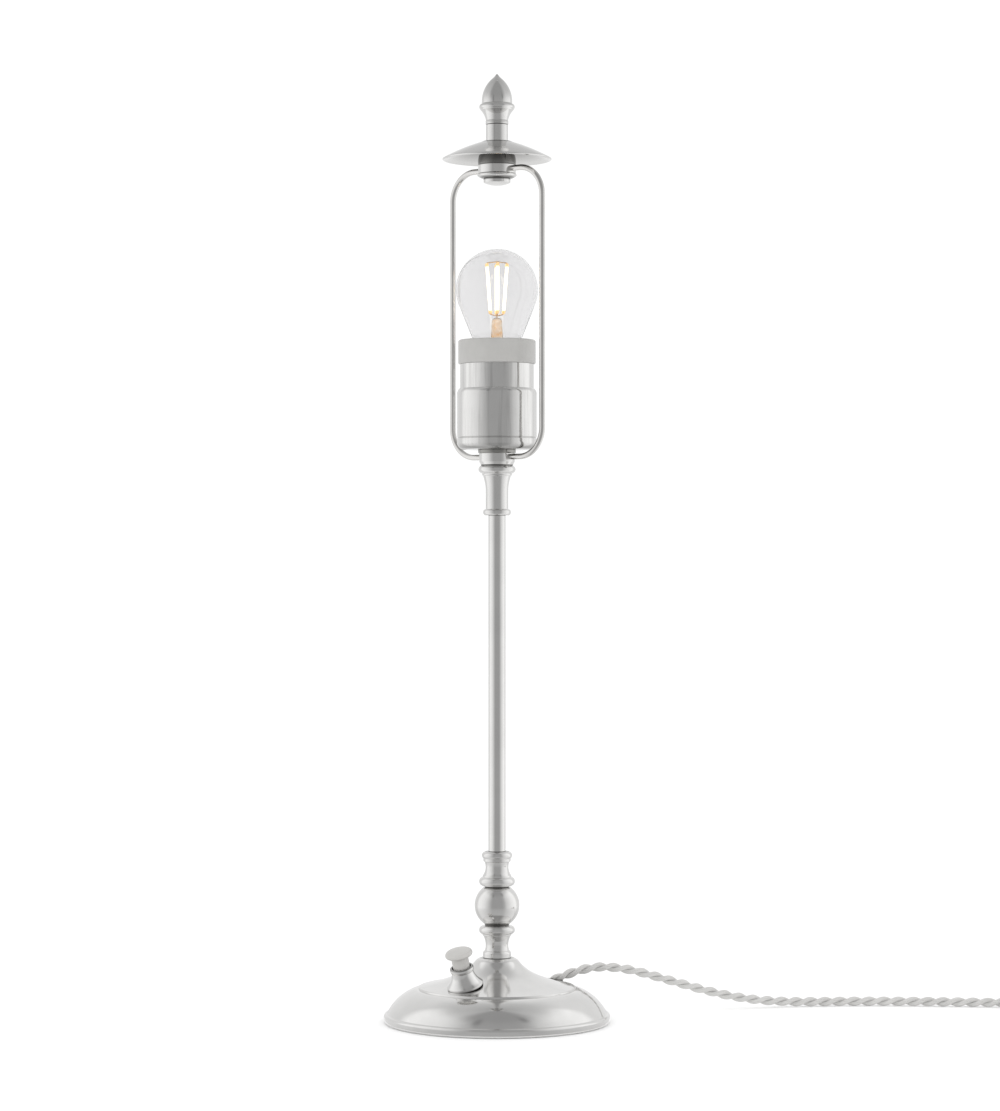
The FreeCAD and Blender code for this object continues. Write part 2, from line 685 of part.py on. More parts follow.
def cap_nut():
    z = Z_CAP_NUT
    nut = Outline(0, z)
    nut.arc(CAP_NUT_R / 2, z + 0.35, CAP_NUT_R, z + 1.6)
    nut.line(CAP_NUT_R, z + CAP_NUT_H)
    nut.line(STUD_R + RUN_GAP, z + CAP_NUT_H)
    nut.line(STUD_R + RUN_GAP, z + STUD_FOOT)
    nut.line(0, z + STUD_FOOT)
    return nut.turn()


def top_stud():
    z = Z_CAP_NUT + STUD_FOOT
    return cylinder(STUD_R, Z_FINIAL + STUD_IN_FINIAL - z, V(0, 0, z))


# ---------------------------------------------------------------- shade carrier and finial

def carrier_boss():
    bore_r = STUD_R + RUN_GAP
    boss = Outline(bore_r, Z_BOSS)
    boss.line(BOSS_R - 0.3, Z_BOSS)
    boss.bow(BOSS_R - 0.8, Z_BOSS + BOSS_H, 0.3)
    boss.line(BOSS_NECK_R, Z_BOSS + BOSS_H)
    boss.line(BOSS_NECK_R, Z_DISC_SEAT)
    boss.line(bore_r, Z_DISC_SEAT)
    return boss.turn()


def carrier_disc():
    top = Z_DISC_SEAT + DISC_T
    rim = top - DISC_DROP
    bore_r = STUD_R + RUN_GAP
    disc = Outline(bore_r, Z_DISC_SEAT)
    disc.line(DISC_FLAT_R, Z_DISC_SEAT)
    disc.bow(DISC_R - 1.0, rim - DISC_T + 0.4, -DISC_BULGE)
    disc.line(DISC_R - 0.6, rim - 0.9)
    disc.line(DISC_R, rim - 0.5)
    disc.line(DISC_R, rim)
    disc.line(DISC_R - 0.5, rim + 0.3)
    disc.bow(DISC_FLAT_R + 0.4, top - 0.3, DISC_BULGE)
    disc.line(DISC_FLAT_R, top)
    disc.line(bore_r, top)
    return disc.turn()


def carrier_spacer():
    return cylinder(SPACER_R, SPACER_H, V(0, 0, Z_SPACER)).cut(
        cylinder(STUD_R + RUN_GAP, SPACER_H, V(0, 0, Z_SPACER)))


def finial():
    z = Z_FINIAL
    stem_top = z + FINIAL_STEM_H
    bore_r = STUD_R + RUN_GAP
    shape = Outline(bore_r, z)
    shape.line(SPACER_R - 0.2, z)
    shape.line(SPACER_R + 0.2, z + 0.4)
    shape.line(SPACER_R + 0.2, z + 1.0)
    shape.line(SPACER_R - 0.1, z + 1.2)
    shape.line(SPACER_R + 0.3, z + 1.5)
    shape.line(SPACER_R, z + 2.4)
    shape.bow(FINIAL_BEAD_R - 0.7, z + 8.1, -0.5)
    shape.line(FINIAL_BEAD_R - 0.5, z + 8.6)
    shape.arc(FINIAL_BEAD_R, z + 9.6, FINIAL_BEAD_R - 0.8, stem_top + 0.6)
    shape.line(FINIAL_R, stem_top + 1.0)
    shape.line(FINIAL_R, stem_top + 2.6)
    shape.bow(2.4, z + FINIAL_H - 2.2, 1.5)
    shape.bow(0.5, z + FINIAL_H, -0.15)
    shape.line(0, z + FINIAL_H)
    shape.line(0, z + STUD_IN_FINIAL + MOVE_GAP)
    shape.line(bore_r, z + STUD_IN_FINIAL + MOVE_GAP)
    return shape.turn()


# ---------------------------------------------------------------- lampholder

def holder_cup():
    z = Z_HOLDER
    shoulder_z = z + HOLDER_H
    hole_r = MANTLE_R + RUN_GAP
    inner_r = HOLDER_R - HOLDER_WALL
    floor_z = z + HOLDER_FLOOR_T
    cup = Outline(BORE_R, z)
    cup.line(HOLDER_FLOOR_R, z)
    cup.arc(HOLDER_R - 1.0, z + 1.2, HOLDER_R, z + HOLDER_FOOT_ROUND)
    cup.line(HOLDER_R, z + 5.9)
    cup.line(HOLDER_R - 0.35, z + 6.2)
    cup.line(HOLDER_R - 0.35, z + 6.6)
    cup.line(HOLDER_R, z + 6.9)
    cup.line(HOLDER_R, shoulder_z - 3.4)
    cup.arc(HOLDER_R - 0.3, shoulder_z - 1.4, hole_r + 0.2, shoulder_z)
    cup.line(hole_r, shoulder_z)
    cup.line(hole_r, shoulder_z - 2.0)
    cup.line(inner_r, shoulder_z - 2.0)
    cup.line(inner_r, z + HOLDER_FOOT_ROUND + 0.2)
    cup.arc(inner_r - 0.8, floor_z + 1.2, HOLDER_FLOOR_R - 0.2, floor_z)
    cup.line(BORE_R, floor_z)
    return cup.turn()


def holder_mantle():
    flange_top = Z_HOLDER + HOLDER_H - 2.0
    flange_r = HOLDER_R - HOLDER_WALL - SLIP_GAP
    inner_r = MANTLE_R - MANTLE_WALL
    mantle = Outline(inner_r, flange_top - MANTLE_FLANGE_H)
    mantle.line(flange_r, flange_top - MANTLE_FLANGE_H)
    mantle.line(flange_r, flange_top)
    mantle.line(MANTLE_R, flange_top)
    mantle.line(MANTLE_R, Z_RING)
    mantle.line(inner_r, Z_RING)
    return mantle.turn()


def insert_top():
    return Z_RING + RING_H - RING_LIP_T


def porcelain_ring():
    top = Z_RING + RING_H
    skirt_r = INSERT_R - 0.5 + SLIP_GAP
    ring = Outline(skirt_r, Z_RING)
    ring.line(RING_R - 0.4, Z_RING)
    ring.line(RING_R, Z_RING + 0.5)
    ring.line(RING_R, top - 1.2)
    ring.arc(RING_R - 0.4, top - 0.3, RING_R - 1.4, top)
    ring.line(RING_HOLE_R + 0.8, top)
    ring.line(RING_HOLE_R, top - 0.8)
    ring.line(RING_HOLE_R, insert_top())
    ring.line(skirt_r, insert_top())
    return ring.turn()


def holder_insert():
    well_r = SLEEVE_IN_R + SLEEVE_WALL + RUN_GAP
    neck_r = INSERT_R - 0.5
    ledge_z = Z_HOLDER + SLEEVE_FOOT
    recess_z = Z_INSERT + INSERT_RECESS_TOP
    body = Outline(INSERT_RECESS_R, Z_INSERT)
    body.line(INSERT_R, Z_INSERT)
    body.line(INSERT_R, Z_INSERT + 14)
    body.line(INSERT_R + 1.5, Z_INSERT + 15)
    body.line(INSERT_R + 1.5, Z_WELL - 0.5)
    body.line(neck_r, Z_WELL + 1)
    body.line(neck_r, insert_top())
    body.line(well_r, insert_top())
    body.line(well_r, ledge_z)
    body.line(WELL_R, ledge_z)
    body.line(WELL_R, Z_WELL)
    body.line(0, Z_WELL)
    body.line(0, recess_z)
    body.line(INSERT_RECESS_R, recess_z)
    insert = body.turn()
    for side in (-1, 1):
        foot = V(side * TERMINAL_X, 0, recess_z)
        insert = insert.cut(cylinder(TERMINAL_SHANK_R + RUN_GAP, TERMINAL_SHANK_H + RUN_GAP, foot))
    return insert


def thread_sleeve():
    z = Z_HOLDER + SLEEVE_FOOT
    outer_r = SLEEVE_IN_R + SLEEVE_WALL
    return cylinder(outer_r, SLEEVE_H, V(0, 0, z)).cut(cylinder(SLEEVE_IN_R, SLEEVE_H, V(0, 0, z)))


def centre_contact():
    """Sprung brass strip: flat on the well's floor, then up to just under the bulb's tip."""
    z = Z_WELL
    side = [(-9, 0), (-4, 0), (-1.5, CONTACT_RISE), (2, CONTACT_RISE), (2, CONTACT_RISE + CONTACT_T),
            (-1.8, CONTACT_RISE + CONTACT_T), (-4.3, CONTACT_T), (-9, CONTACT_T), (-9, 0)]
    corners = [V(x, -CONTACT_W / 2, z + rise) for x, rise in side]
    return Part.Face(Part.makePolygon(corners)).extrude(V(0, CONTACT_W, 0))


def terminal_screws():
    z = Z_INSERT + INSERT_RECESS_TOP
    screws = []
    for side in (-1, 1):
        head = cylinder(TERMINAL_HEAD_R, TERMINAL_HEAD_H, V(side * TERMINAL_X, 0, z - TERMINAL_HEAD_H))
        shank = cylinder(TERMINAL_SHANK_R, TERMINAL_SHANK_H, V(side * TERMINAL_X, 0, z))
        screws.append(head.fuse(shank).removeSplitter())
    return Part.makeCompound(screws)


def holder_nut():
    return hex_nut(HOLDER_NUT_FLATS, HOLDER_NUT_H, BORE_R, Z_INSERT)


# ---------------------------------------------------------------- bulb

def glass_outline(shrink, neck_foot):
    """The bulb's pear shape from the neck to the crown, drawn shrink inside the outer glass."""
    centre = Z_TIP + BULB_CENTRE
    neck_z = Z_TIP + BULB_NECK_TOP
    ball_r = BULB_R - shrink
    neck_r = BULB_NECK_R - shrink
    to_centre = math.hypot(neck_r, centre - neck_z)
    tangent_angle = math.atan2(neck_z - centre, neck_r) + math.acos(ball_r / to_centre)
    touch = V(ball_r * math.cos(tangent_angle), 0, centre + ball_r * math.sin(tangent_angle))
    middle_angle = (tangent_angle + math.pi / 2) / 2
    inside_cap_r = CAP_R - CAP_WALL - 2 * RUN_GAP - shrink
    shape = Outline(0, neck_foot)
    shape.line(inside_cap_r, neck_foot)
    shape.line(inside_cap_r, Z_TIP + CAP_TOP - CRIMP_H)
    shape.line(neck_r - 0.35, Z_TIP + CAP_TOP)
    shape.line(neck_r, neck_z)
    shape.line(touch.x, touch.z)
    shape.arc(ball_r * math.cos(middle_angle), centre + ball_r * math.sin(middle_angle), 0, centre + ball_r)
    return shape


def bulb_glass():
    foot = Z_TIP + NECK_FOOT
    return glass_outline(0, foot).turn().cut(glass_outline(GLASS_T, foot).turn())


def bulb_cap():
    z = Z_TIP
    inner_r = CAP_R - CAP_WALL
    cap = Outline(INSULATOR_R + RUN_GAP, z + 2.0)
    cap.line(CAP_R - 1.6, z + 2.6)
    cap.line(CAP_R, z + 4.4)
    cap.line(CAP_R, z + CAP_TOP - CRIMP_H)
    cap.line(CAP_CRIMP_R, z + CAP_TOP - CRIMP_H + 0.4)
    cap.line(CAP_CRIMP_R, z + CAP_TOP)
    cap.line(CAP_CRIMP_R - CAP_WALL, z + CAP_TOP)
    cap.line(CAP_CRIMP_R - CAP_WALL, z + CAP_TOP - CRIMP_H + 0.6)
    cap.line(inner_r, z + CAP_TOP - CRIMP_H + 0.1)
    cap.line(inner_r, z + 4.6)
    cap.line(CAP_R - 1.8, z + 3.0)
    cap.line(INSULATOR_R + RUN_GAP, z + 2.4)
    return cap.turn()


def bulb_insulator():
    z = Z_TIP
    ring = Outline(TIP_R + RUN_GAP, z + 0.8)
    ring.line(INSULATOR_R, z + 2.0)
    ring.line(INSULATOR_R, z + 2.6)
    ring.line(INSULATOR_R - 1, z + 4.0)
    ring.line(TIP_R + RUN_GAP, z + 4.0)
    return ring.turn()


def bulb_tip():
    z = Z_TIP
    tip = Outline(0, z)
    tip.bow(TIP_R, z + 0.6, 0.1)
    tip.line(TIP_R, z + TIP_H)
    tip.line(0, z + TIP_H)
    return tip.turn()


def glass_mount():
    """Flared glass stem that closes the bulb's neck and carries the filaments."""
    z = Z_TIP
    flare_r = CAP_R - CAP_WALL - 2 * RUN_GAP - GLASS_T - RUN_GAP
    mount = Outline(0, z + NECK_FOOT)
    mount.line(flare_r, z + NECK_FOOT)
    mount.line(flare_r, z + NECK_FOOT + 0.8)
    mount.bow(STEM_GLASS_R + 0.8, z + NECK_FOOT + 9, -2.2)
    mount.line(STEM_GLASS_R, z + STEM_GLASS_TOP - 2)
    mount.bow(2 * SUPPORT_R, z + STEM_GLASS_TOP, 0.5)
    mount.line(0, z + STEM_GLASS_TOP)
    return mount.turn()


def filament_ends(index):
    angle = math.radians(45 + FULL_TURN / FILAMENTS * index)
    foot_z = Z_TIP + FILAMENT_FOOT
    low = V(FILAMENT_FOOT_SPREAD * math.cos(angle), FILAMENT_FOOT_SPREAD * math.sin(angle), foot_z)
    high = V(FILAMENT_HEAD_SPREAD * math.cos(angle), FILAMENT_HEAD_SPREAD * math.sin(angle),
             foot_z + FILAMENT_LENGTH)
    return low, high


def led_filaments():
    rods = []
    for index in range(FILAMENTS):
        low, high = filament_ends(index)
        rods.append(cylinder(FILAMENT_R, (high - low).Length, low, high - low))
    return Part.makeCompound(rods)


def filament_supports():
    """Centre wire out of the glass stem, with an arm to each end of every filament."""
    post_foot = Z_TIP + STEM_GLASS_TOP
    post_top = Z_TIP + FILAMENT_FOOT + FILAMENT_LENGTH + 1.5
    frame = cylinder(SUPPORT_R, post_top - post_foot, V(0, 0, post_foot))
    for index in range(FILAMENTS):
        low, high = filament_ends(index)
        reach = (high - low).normalize() * SUPPORT_R
        for end, hub_z in ((low - reach, low.z - 1.2), (high + reach, post_top - 0.5)):
            hub = V(0, 0, hub_z)
            arm = end - hub
            frame = frame.fuse(cylinder(SUPPORT_R, arm.Length, hub, arm))
    for index in range(FILAMENTS):
        low, high = filament_ends(index)
        rod = cylinder(FILAMENT_R + RUN_GAP / 2, (high - low).Length, low, high - low)
        frame = frame.cut(rod)
    return frame


# ---------------------------------------------------------------- switch

def switch_bell():
    bell = Outline(SWITCH_NECK_R + RUN_GAP, 0)
    bell.line(BELL_FOOT_R - 0.2, 0)
    bell.line(BELL_FOOT_R, 0.3)
    bell.line(BELL_FOOT_R, 1.3)
    bell.bow(BELL_WAIST_R, BELL_H - 2.7, -0.85)
    bell.line(BELL_RIM_R - 0.2, BELL_H - 2.3)
    bell.arc(BELL_RIM_R, BELL_H - 1.4, BELL_RIM_R - 0.1, BELL_H - 0.3)
    bell.line(BELL_RIM_R - 0.4, BELL_H)
    bell.line(BELL_BORE_R, BELL_H)
    bell.line(BELL_BORE_R, SWITCH_NECK_TOP)
    bell.line(SWITCH_NECK_R + RUN_GAP, SWITCH_NECK_TOP)
    return on_switch_axis(bell.turn())


def switch_button():
    button = Outline(0, BUTTON_STEM_FOOT)
    button.line(BUTTON_STEM_R, BUTTON_STEM_FOOT)
    button.line(BUTTON_STEM_R, BUTTON_CAP_FOOT - 0.6)
    button.bow(BUTTON_CAP_R - 1.2, BUTTON_CAP_FOOT + 0.4, -0.2)
    button.arc(BUTTON_CAP_R - 0.25, BUTTON_CAP_FOOT + 0.9, BUTTON_CAP_R, BUTTON_CAP_FOOT + 1.8)
    button.arc(BUTTON_CAP_R - 0.4, BUTTON_TOP - 1.0, BUTTON_CAP_R - 1.7, BUTTON_TOP - 0.4)
    button.dome(BUTTON_TOP)
    return on_switch_axis(button.turn())


def body_top():
    return -SWITCH_WEB - SWITCH_NUT_H


def switch_plunger():
    """Steel pin under the button; its flange presses the spring inside the switch."""
    flange_top = body_top() - SWITCH_BODY_WALL - MOVE_GAP
    pin = Outline(0, flange_top - PLUNGER_FLANGE_H)
    pin.line(PLUNGER_FLANGE_R, flange_top - PLUNGER_FLANGE_H)
    pin.line(PLUNGER_FLANGE_R, flange_top)
    pin.line(PLUNGER_R, flange_top)
    pin.line(PLUNGER_R, BUTTON_STEM_FOOT)
    pin.line(0, BUTTON_STEM_FOOT)
    return on_switch_axis(pin.turn())


def switch_neck():
    """Threaded bush that holds the bell, the shell and the ring nut together."""
    foot = body_top()
    height = SWITCH_NECK_TOP - foot
    bush = cylinder(SWITCH_NECK_R, height, V(0, 0, foot))
    return on_switch_axis(bush.cut(cylinder(SWITCH_NECK_BORE_R, height, V(0, 0, foot))))


def switch_nut():
    foot = body_top()
    ring = cylinder(SWITCH_NUT_R, SWITCH_NUT_H, V(0, 0, foot))
    return on_switch_axis(ring.cut(cylinder(SWITCH_NECK_R + RUN_GAP, SWITCH_NUT_H, V(0, 0, foot))))


def switch_body():
    top = body_top()
    inner_r = SWITCH_BODY_R - SWITCH_BODY_WALL
    body = Outline(SWITCH_NECK_BORE_R, top)
    body.line(SWITCH_BODY_R - 0.6, top)
    body.line(SWITCH_BODY_R, top - 0.6)
    body.line(SWITCH_BODY_R, top - SWITCH_BODY_H)
    body.line(0, top - SWITCH_BODY_H)
    body.line(0, top - SWITCH_BODY_H + SWITCH_BODY_WALL)
    body.line(inner_r, top - SWITCH_BODY_H + SWITCH_BODY_WALL)
    body.line(inner_r, top - SWITCH_BODY_WALL)
    body.line(SWITCH_NECK_BORE_R, top - SWITCH_BODY_WALL)
    return on_switch_axis(body.turn())


def switch_spring():
    """Return spring between the plunger's flange and the floor of the switch body."""
    top = body_top() - SWITCH_BODY_WALL - MOVE_GAP - PLUNGER_FLANGE_H - SPRING_WIRE_R
    foot = body_top() - SWITCH_BODY_H + SWITCH_BODY_WALL + SPRING_WIRE_R
    height = top - foot
    pitch = height / SPRING_TURNS
    slope = math.atan2(pitch, 2 * math.pi * SPRING_R)
    helix = Part.makeHelix(pitch, height, SPRING_R)
    along = V(0, math.cos(slope), math.sin(slope))
    ring = Part.Wire([Part.makeCircle(SPRING_WIRE_R, V(SPRING_R, 0, 0), along)])
    spring = Part.Wire(helix.Edges).makePipeShell([ring], True, True)
    spring.translate(V(0, 0, foot))
    return on_switch_axis(spring)


def terminal_face():
    """Height of the switch's screw faces along its axis."""
    return body_top() - SWITCH_BODY_H - SWITCH_TERMINAL_H


def switch_terminals():
    screws = []
    for side in (-1, 1):
        foot = V(side * SWITCH_TERMINAL_X, 0, terminal_face())
        screws.append(on_switch_axis(cylinder(SWITCH_TERMINAL_R, SWITCH_TERMINAL_H, foot)))
    return Part.makeCompound(screws)


# ---------------------------------------------------------------- cord and wires

CORD_ROUTE = [tuple(EXIT_POINT + V(*CORD_START))]
CORD_ROUTE += CORD_ARCH
CORD_ROUTE += [(x, y, CORD_R) for x, y in CORD_ON_TABLE]


def by_the_coil(radius, angle, z):
    """A point at that distance and bearing from the coil's middle."""
    turn = math.radians(angle)
    return (COIL_X + radius * math.cos(turn), COIL_Y + radius * math.sin(turn), z)


CORD_ROUTE.append(by_the_coil(COIL_OUTER_TURN_R + 1.4, COIL_ENTRY, CORD_R))
TAIL_START = by_the_coil(COIL_OUTER_TURN_R, TAIL_ANGLE, PLUG_T / 2 + TAIL_DROP)
TAIL_ROUTE = [          # from the coil's last turn down to the plug, which lies flat on the table
    TAIL_START,
    (TAIL_START[0] + TAIL_BEND[0], TAIL_START[1] + TAIL_BEND[1], PLUG_T / 2),
    (TAIL_START[0] + TAIL_END[0], TAIL_START[1] + TAIL_END[1], PLUG_T / 2),
]


def cord_bushing():
    """Metal eyelet in the cord hole, its flange on the crest and its thread down to the ring nut."""
    top = BUSHING_SEAT + BUSHING_FLANGE_T
    ring = Outline(BUSHING_BORE_R, -BUSHING_FOOT)
    ring.line(BUSHING_R, -BUSHING_FOOT)
    ring.line(BUSHING_R, BUSHING_SEAT)
    ring.line(BUSHING_FLANGE_R, BUSHING_SEAT)
    ring.arc(BUSHING_FLANGE_R - 0.1, top - 0.2, BUSHING_FLANGE_R - 0.7, top)
    ring.line(BUSHING_BORE_R + 0.3, top)
    ring.line(BUSHING_BORE_R, BUSHING_SEAT - 0.15)
    return on_exit_axis(ring.turn())


def bushing_nut():
    foot = -BUSHING_WEB - BUSHING_NUT_H
    ring = cylinder(BUSHING_NUT_R, BUSHING_NUT_H, V(0, 0, foot))
    return on_exit_axis(ring.cut(cylinder(BUSHING_R + RUN_GAP, BUSHING_NUT_H, V(0, 0, foot))))


def cord():
    return tube_along(CORD_ROUTE, CORD_R, "cord")


def cord_tail():
    return tube_along(TAIL_ROUTE, CORD_R, "cord_tail")


def cord_coil():
    """Outer shape of the tied coil: a ring of rounded section that lies on its tie."""
    half_w = COIL_COLUMNS * CORD_R
    height = COIL_ROWS * 2 * CORD_R
    inner_r = COIL_MEAN_R - half_w
    outer_r = COIL_MEAN_R + half_w
    corner = CORD_R
    slack = corner * (1 - math.sqrt(0.5))
    z = TIE_T
    top = z + height
    ring = Outline(inner_r + corner, z)
    ring.line(outer_r - corner, z)
    ring.arc(outer_r - slack, z + slack, outer_r, z + corner)
    ring.line(outer_r, top - corner)
    ring.arc(outer_r - slack, top - slack, outer_r - corner, top)
    ring.line(inner_r + corner, top)
    ring.arc(inner_r + slack, top - slack, inner_r, top - corner)
    ring.line(inner_r, z + corner)
    ring.edges.append(Part.Arc(ring.here, V(inner_r + slack, 0, z + slack), ring.start).toShape())
    coil = Part.Face(Part.Wire(ring.edges)).revolve(V(0, 0, 0), UP, FULL_TURN)
    coil.translate(V(COIL_X, COIL_Y, 0))
    return coil


def coil_tie():
    """Flat band round the coil's bundle."""
    half_w = COIL_COLUMNS * CORD_R + TIE_PLAY
    height = COIL_ROWS * 2 * CORD_R + TIE_PLAY
    outer = Part.makeBox(2 * (half_w + TIE_T), TIE_W, height + 2 * TIE_T,
                         V(COIL_MEAN_R - half_w - TIE_T, -TIE_W / 2, 0))
    inner = Part.makeBox(2 * half_w, TIE_W, height, V(COIL_MEAN_R - half_w, -TIE_W / 2, TIE_T))
    band = outer.cut(inner)
    band.rotate(V(0, 0, 0), UP, TIE_ANGLE)
    band.translate(V(COIL_X, COIL_Y, 0))
    return band


def in_plug_frame(shape):
    """Places a piece drawn along +X from the origin behind the cord's tail."""
    placed = shape.copy()
    last_run = V(*TAIL_ROUTE[-1]) - V(*TAIL_ROUTE[-2])
    placed.rotate(V(0, 0, 0), UP, math.degrees(math.atan2(last_run.y, last_run.x)))
    placed.translate(V(*TAIL_ROUTE[-1]))
    return placed


def plug_body():
    """Flat two-pin plug: a tapered boot, shoulders and a straight face."""
    front = PLUG_BOOT_L + PLUG_BODY_L
    half = PLUG_W / 2
    neck = PLUG_NECK_W / 2
    outline = [V(PLUG_BOOT_L, -neck, 0), V(front - PLUG_STRAIGHT_L, -half, 0), V(front, -half, 0),
               V(front, half, 0), V(front - PLUG_STRAIGHT_L, half, 0), V(PLUG_BOOT_L, neck, 0)]
    face = Part.Face(Part.makePolygon(outline + outline[:1]))
    body = face.extrude(V(0, 0, PLUG_T))
    body.translate(V(0, 0, -PLUG_T / 2))
    body = body.makeFillet(PLUG_EDGE, body.Edges)
    boot = Outline(0, 0)
    boot.line(PLUG_BOOT_TIP_R, 0)
    boot.line(PLUG_BOOT_R, PLUG_BOOT_L)
    boot.line(PLUG_BOOT_R, PLUG_BOOT_L + PLUG_BOOT_ROOT)
    boot.line(0, PLUG_BOOT_L + PLUG_BOOT_ROOT)
    cone = boot.turn()
    cone.rotate(V(0, 0, 0), V(0, 1, 0), 90)
    return in_plug_frame(body.fuse(cone).removeSplitter())


def plug_pins():
    front = PLUG_BOOT_L + PLUG_BODY_L
    pins = []
    for side in (-1, 1):
        pin = cylinder(PIN_R, PIN_L, V(front, side * PIN_PITCH / 2, 0), V(1, 0, 0))
        tip = [edge for edge in pin.Edges if edge.BoundBox.XMin > front + PIN_L - 0.01]
        pins.append(in_plug_frame(pin.makeFillet(PIN_R * 0.45, tip)))
    return Part.makeCompound(pins)


def terminal_point(side):
    """Middle of one screw face of the switch, and a point straight below it along the axis."""
    rotation = FreeCAD.Rotation(UP, SWITCH_AXIS)
    face = SWITCH_FOOT + rotation.multVec(V(side * SWITCH_TERMINAL_X, 0, terminal_face()))
    lower = terminal_face() - SWITCH_LEAD_DROP
    below = SWITCH_FOOT + rotation.multVec(V(side * SWITCH_TERMINAL_X, 0, lower))
    return tuple(face), tuple(below)


def stem_leads():
    """The two insulated wires up the tube: one from the connector block, one from the switch."""
    z_end = Z_INSERT + INSERT_RECESS_TOP - TERMINAL_HEAD_H
    face, below = terminal_point(1)
    below_tube = {
        -1: [(BLOCK_X, BLOCK_NEAR_Y, LEAD_Z), (BLOCK_X, BLOCK_NEAR_Y - 5, LEAD_Z),
             (-LEAD_OFFSET, 0, LEAD_Z)],
        1: [face, below, (LEAD_OFFSET, 0, below[2] + 0.8)],
    }
    leads = []
    for side in (-1, 1):
        route = below_tube[side] + [
            (side * LEAD_OFFSET, 0, Z_INSERT + TUBE_HEAD + 2),
            (side * TERMINAL_X, 0, z_end - 1.5), (side * TERMINAL_X, 0, z_end)]
        leads.append(tube_along(route, LEAD_R))
    return Part.makeCompound(leads)


def base_leads():
    """Wires inside the base: the cord's two cores to the block, and the block to the switch."""
    start = V(*CORD_ROUTE[0])
    across = (V(*CORD_ROUTE[1]) - start).cross(UP).normalize() * LEAD_OFFSET
    far_y = BLOCK_NEAR_Y + BLOCK_D
    sheath = tube_along(CORD_ROUTE, CORD_R)
    leads = []
    for side in (-1, 1):
        core = start + across * side
        under_hole = core - EXIT_AXIS * 5
        route = [tuple(core), tuple(under_hole), (side * BLOCK_X, far_y + 8.5, under_hole.z - 2.1),
                 (side * BLOCK_X, far_y + 4, LEAD_Z), (side * BLOCK_X, far_y, LEAD_Z)]
        leads.append(tube_along(route, LEAD_R).cut(sheath))
    face, below = terminal_point(-1)
    route = [(-BLOCK_X, BLOCK_NEAR_Y, LEAD_Z), (-BLOCK_X, BLOCK_NEAR_Y - 5, LEAD_Z),
             (-BLOCK_X - 3.6, -5.0, LEAD_Z - 1.5), below, face]
    leads.append(tube_along(route, LEAD_R))
    return Part.makeCompound(leads)


def connector_block():
    """Two-way connector block that stands on the bottom plate."""
    block = Part.makeBox(BLOCK_W, BLOCK_D, BLOCK_H, V(-BLOCK_W / 2, BLOCK_NEAR_Y, Z_WEIGHT))
    upright = [edge for edge in block.Edges if edge.BoundBox.ZLength > BLOCK_H / 2]
    block = block.makeFillet(1.0, upright)
    for side in (-1, 1):
        well = V(side * BLOCK_X, BLOCK_NEAR_Y + BLOCK_D / 2, Z_WEIGHT + BLOCK_H - BLOCK_SCREW_DEEP)
        block = block.cut(cylinder(BLOCK_SCREW_R, BLOCK_SCREW_DEEP, well))
    return block


NODES = {
    "base_shell": base_shell,
    "bottom_plate": bottom_plate,
    "felt_pad": felt_pad,
    "base_weight": base_weight,
    "plate_screws": plate_screws,
    "base_washer": base_washer,
    "base_nut": base_nut,
    "stem_tube": stem_tube,
    "lower_collar": lower_collar,
    "baluster_ball": baluster_ball,
    "upper_collar": upper_collar,
    "top_collar": top_collar,
    "harp_lower_hub": lower_hub,
    "harp_wire_right": lambda: harp_wire(1),
    "harp_wire_left": lambda: harp_wire(-1),
    "harp_upper_hub": upper_hub,
    "hub_washer": hub_washer,
    "hub_cap_nut": cap_nut,
    "top_stud": top_stud,
    "carrier_boss": carrier_boss,
    "carrier_disc": carrier_disc,
    "carrier_spacer": carrier_spacer,
    "finial": finial,
    "holder_cup": holder_cup,
    "holder_mantle": holder_mantle,
    "holder_nut": holder_nut,
    "holder_insert": holder_insert,
    "porcelain_ring": porcelain_ring,
    "thread_sleeve": thread_sleeve,
    "centre_contact": centre_contact,
    "terminal_screws": terminal_screws,
    "bulb_glass": bulb_glass,
    "bulb_cap": bulb_cap,
    "bulb_insulator": bulb_insulator,
    "bulb_tip": bulb_tip,
    "glass_mount": glass_mount,
    "led_filaments": led_filaments,
    "filament_supports": filament_supports,
    "switch_bell": switch_bell,
    "switch_button": switch_button,
    "switch_plunger": switch_plunger,
    "switch_neck": switch_neck,
    "switch_nut": switch_nut,
    "switch_body": switch_body,
    "switch_spring": switch_spring,
    "switch_terminals": switch_terminals,
    "cord_bushing": cord_bushing,
    "bushing_nut": bushing_nut,
    "cord": cord,
    "cord_coil": cord_coil,
    "coil_tie": coil_tie,
    "cord_tail": cord_tail,
    "plug_body": plug_body,
    "plug_pins": plug_pins,
    "stem_leads": stem_leads,
    "base_leads": base_leads,
    "connector_block": connector_block,
}

os.makedirs("parts", exist_ok=True)
for node, make in NODES.items():
    shape = make()
    print(node, "solids", len(shape.Solids), "valid", shape.isValid(), "volume", round(shape.Volume, 1))
    shape.exportStep(os.path.join("parts", node + ".step"))
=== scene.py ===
# %% [markdown]
# # A nickel plated table lamp stand
# The stand is a stack of turned metal pieces on one tube: a spun base with a push switch, collars
# and a ball, a lampholder inside a harp of bent wire, and a dished carrier under a finial. The
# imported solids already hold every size. This script only dresses them: finer meshes where the eye
# rests, a finish for every piece, a twisted cord, soft light and a camera.

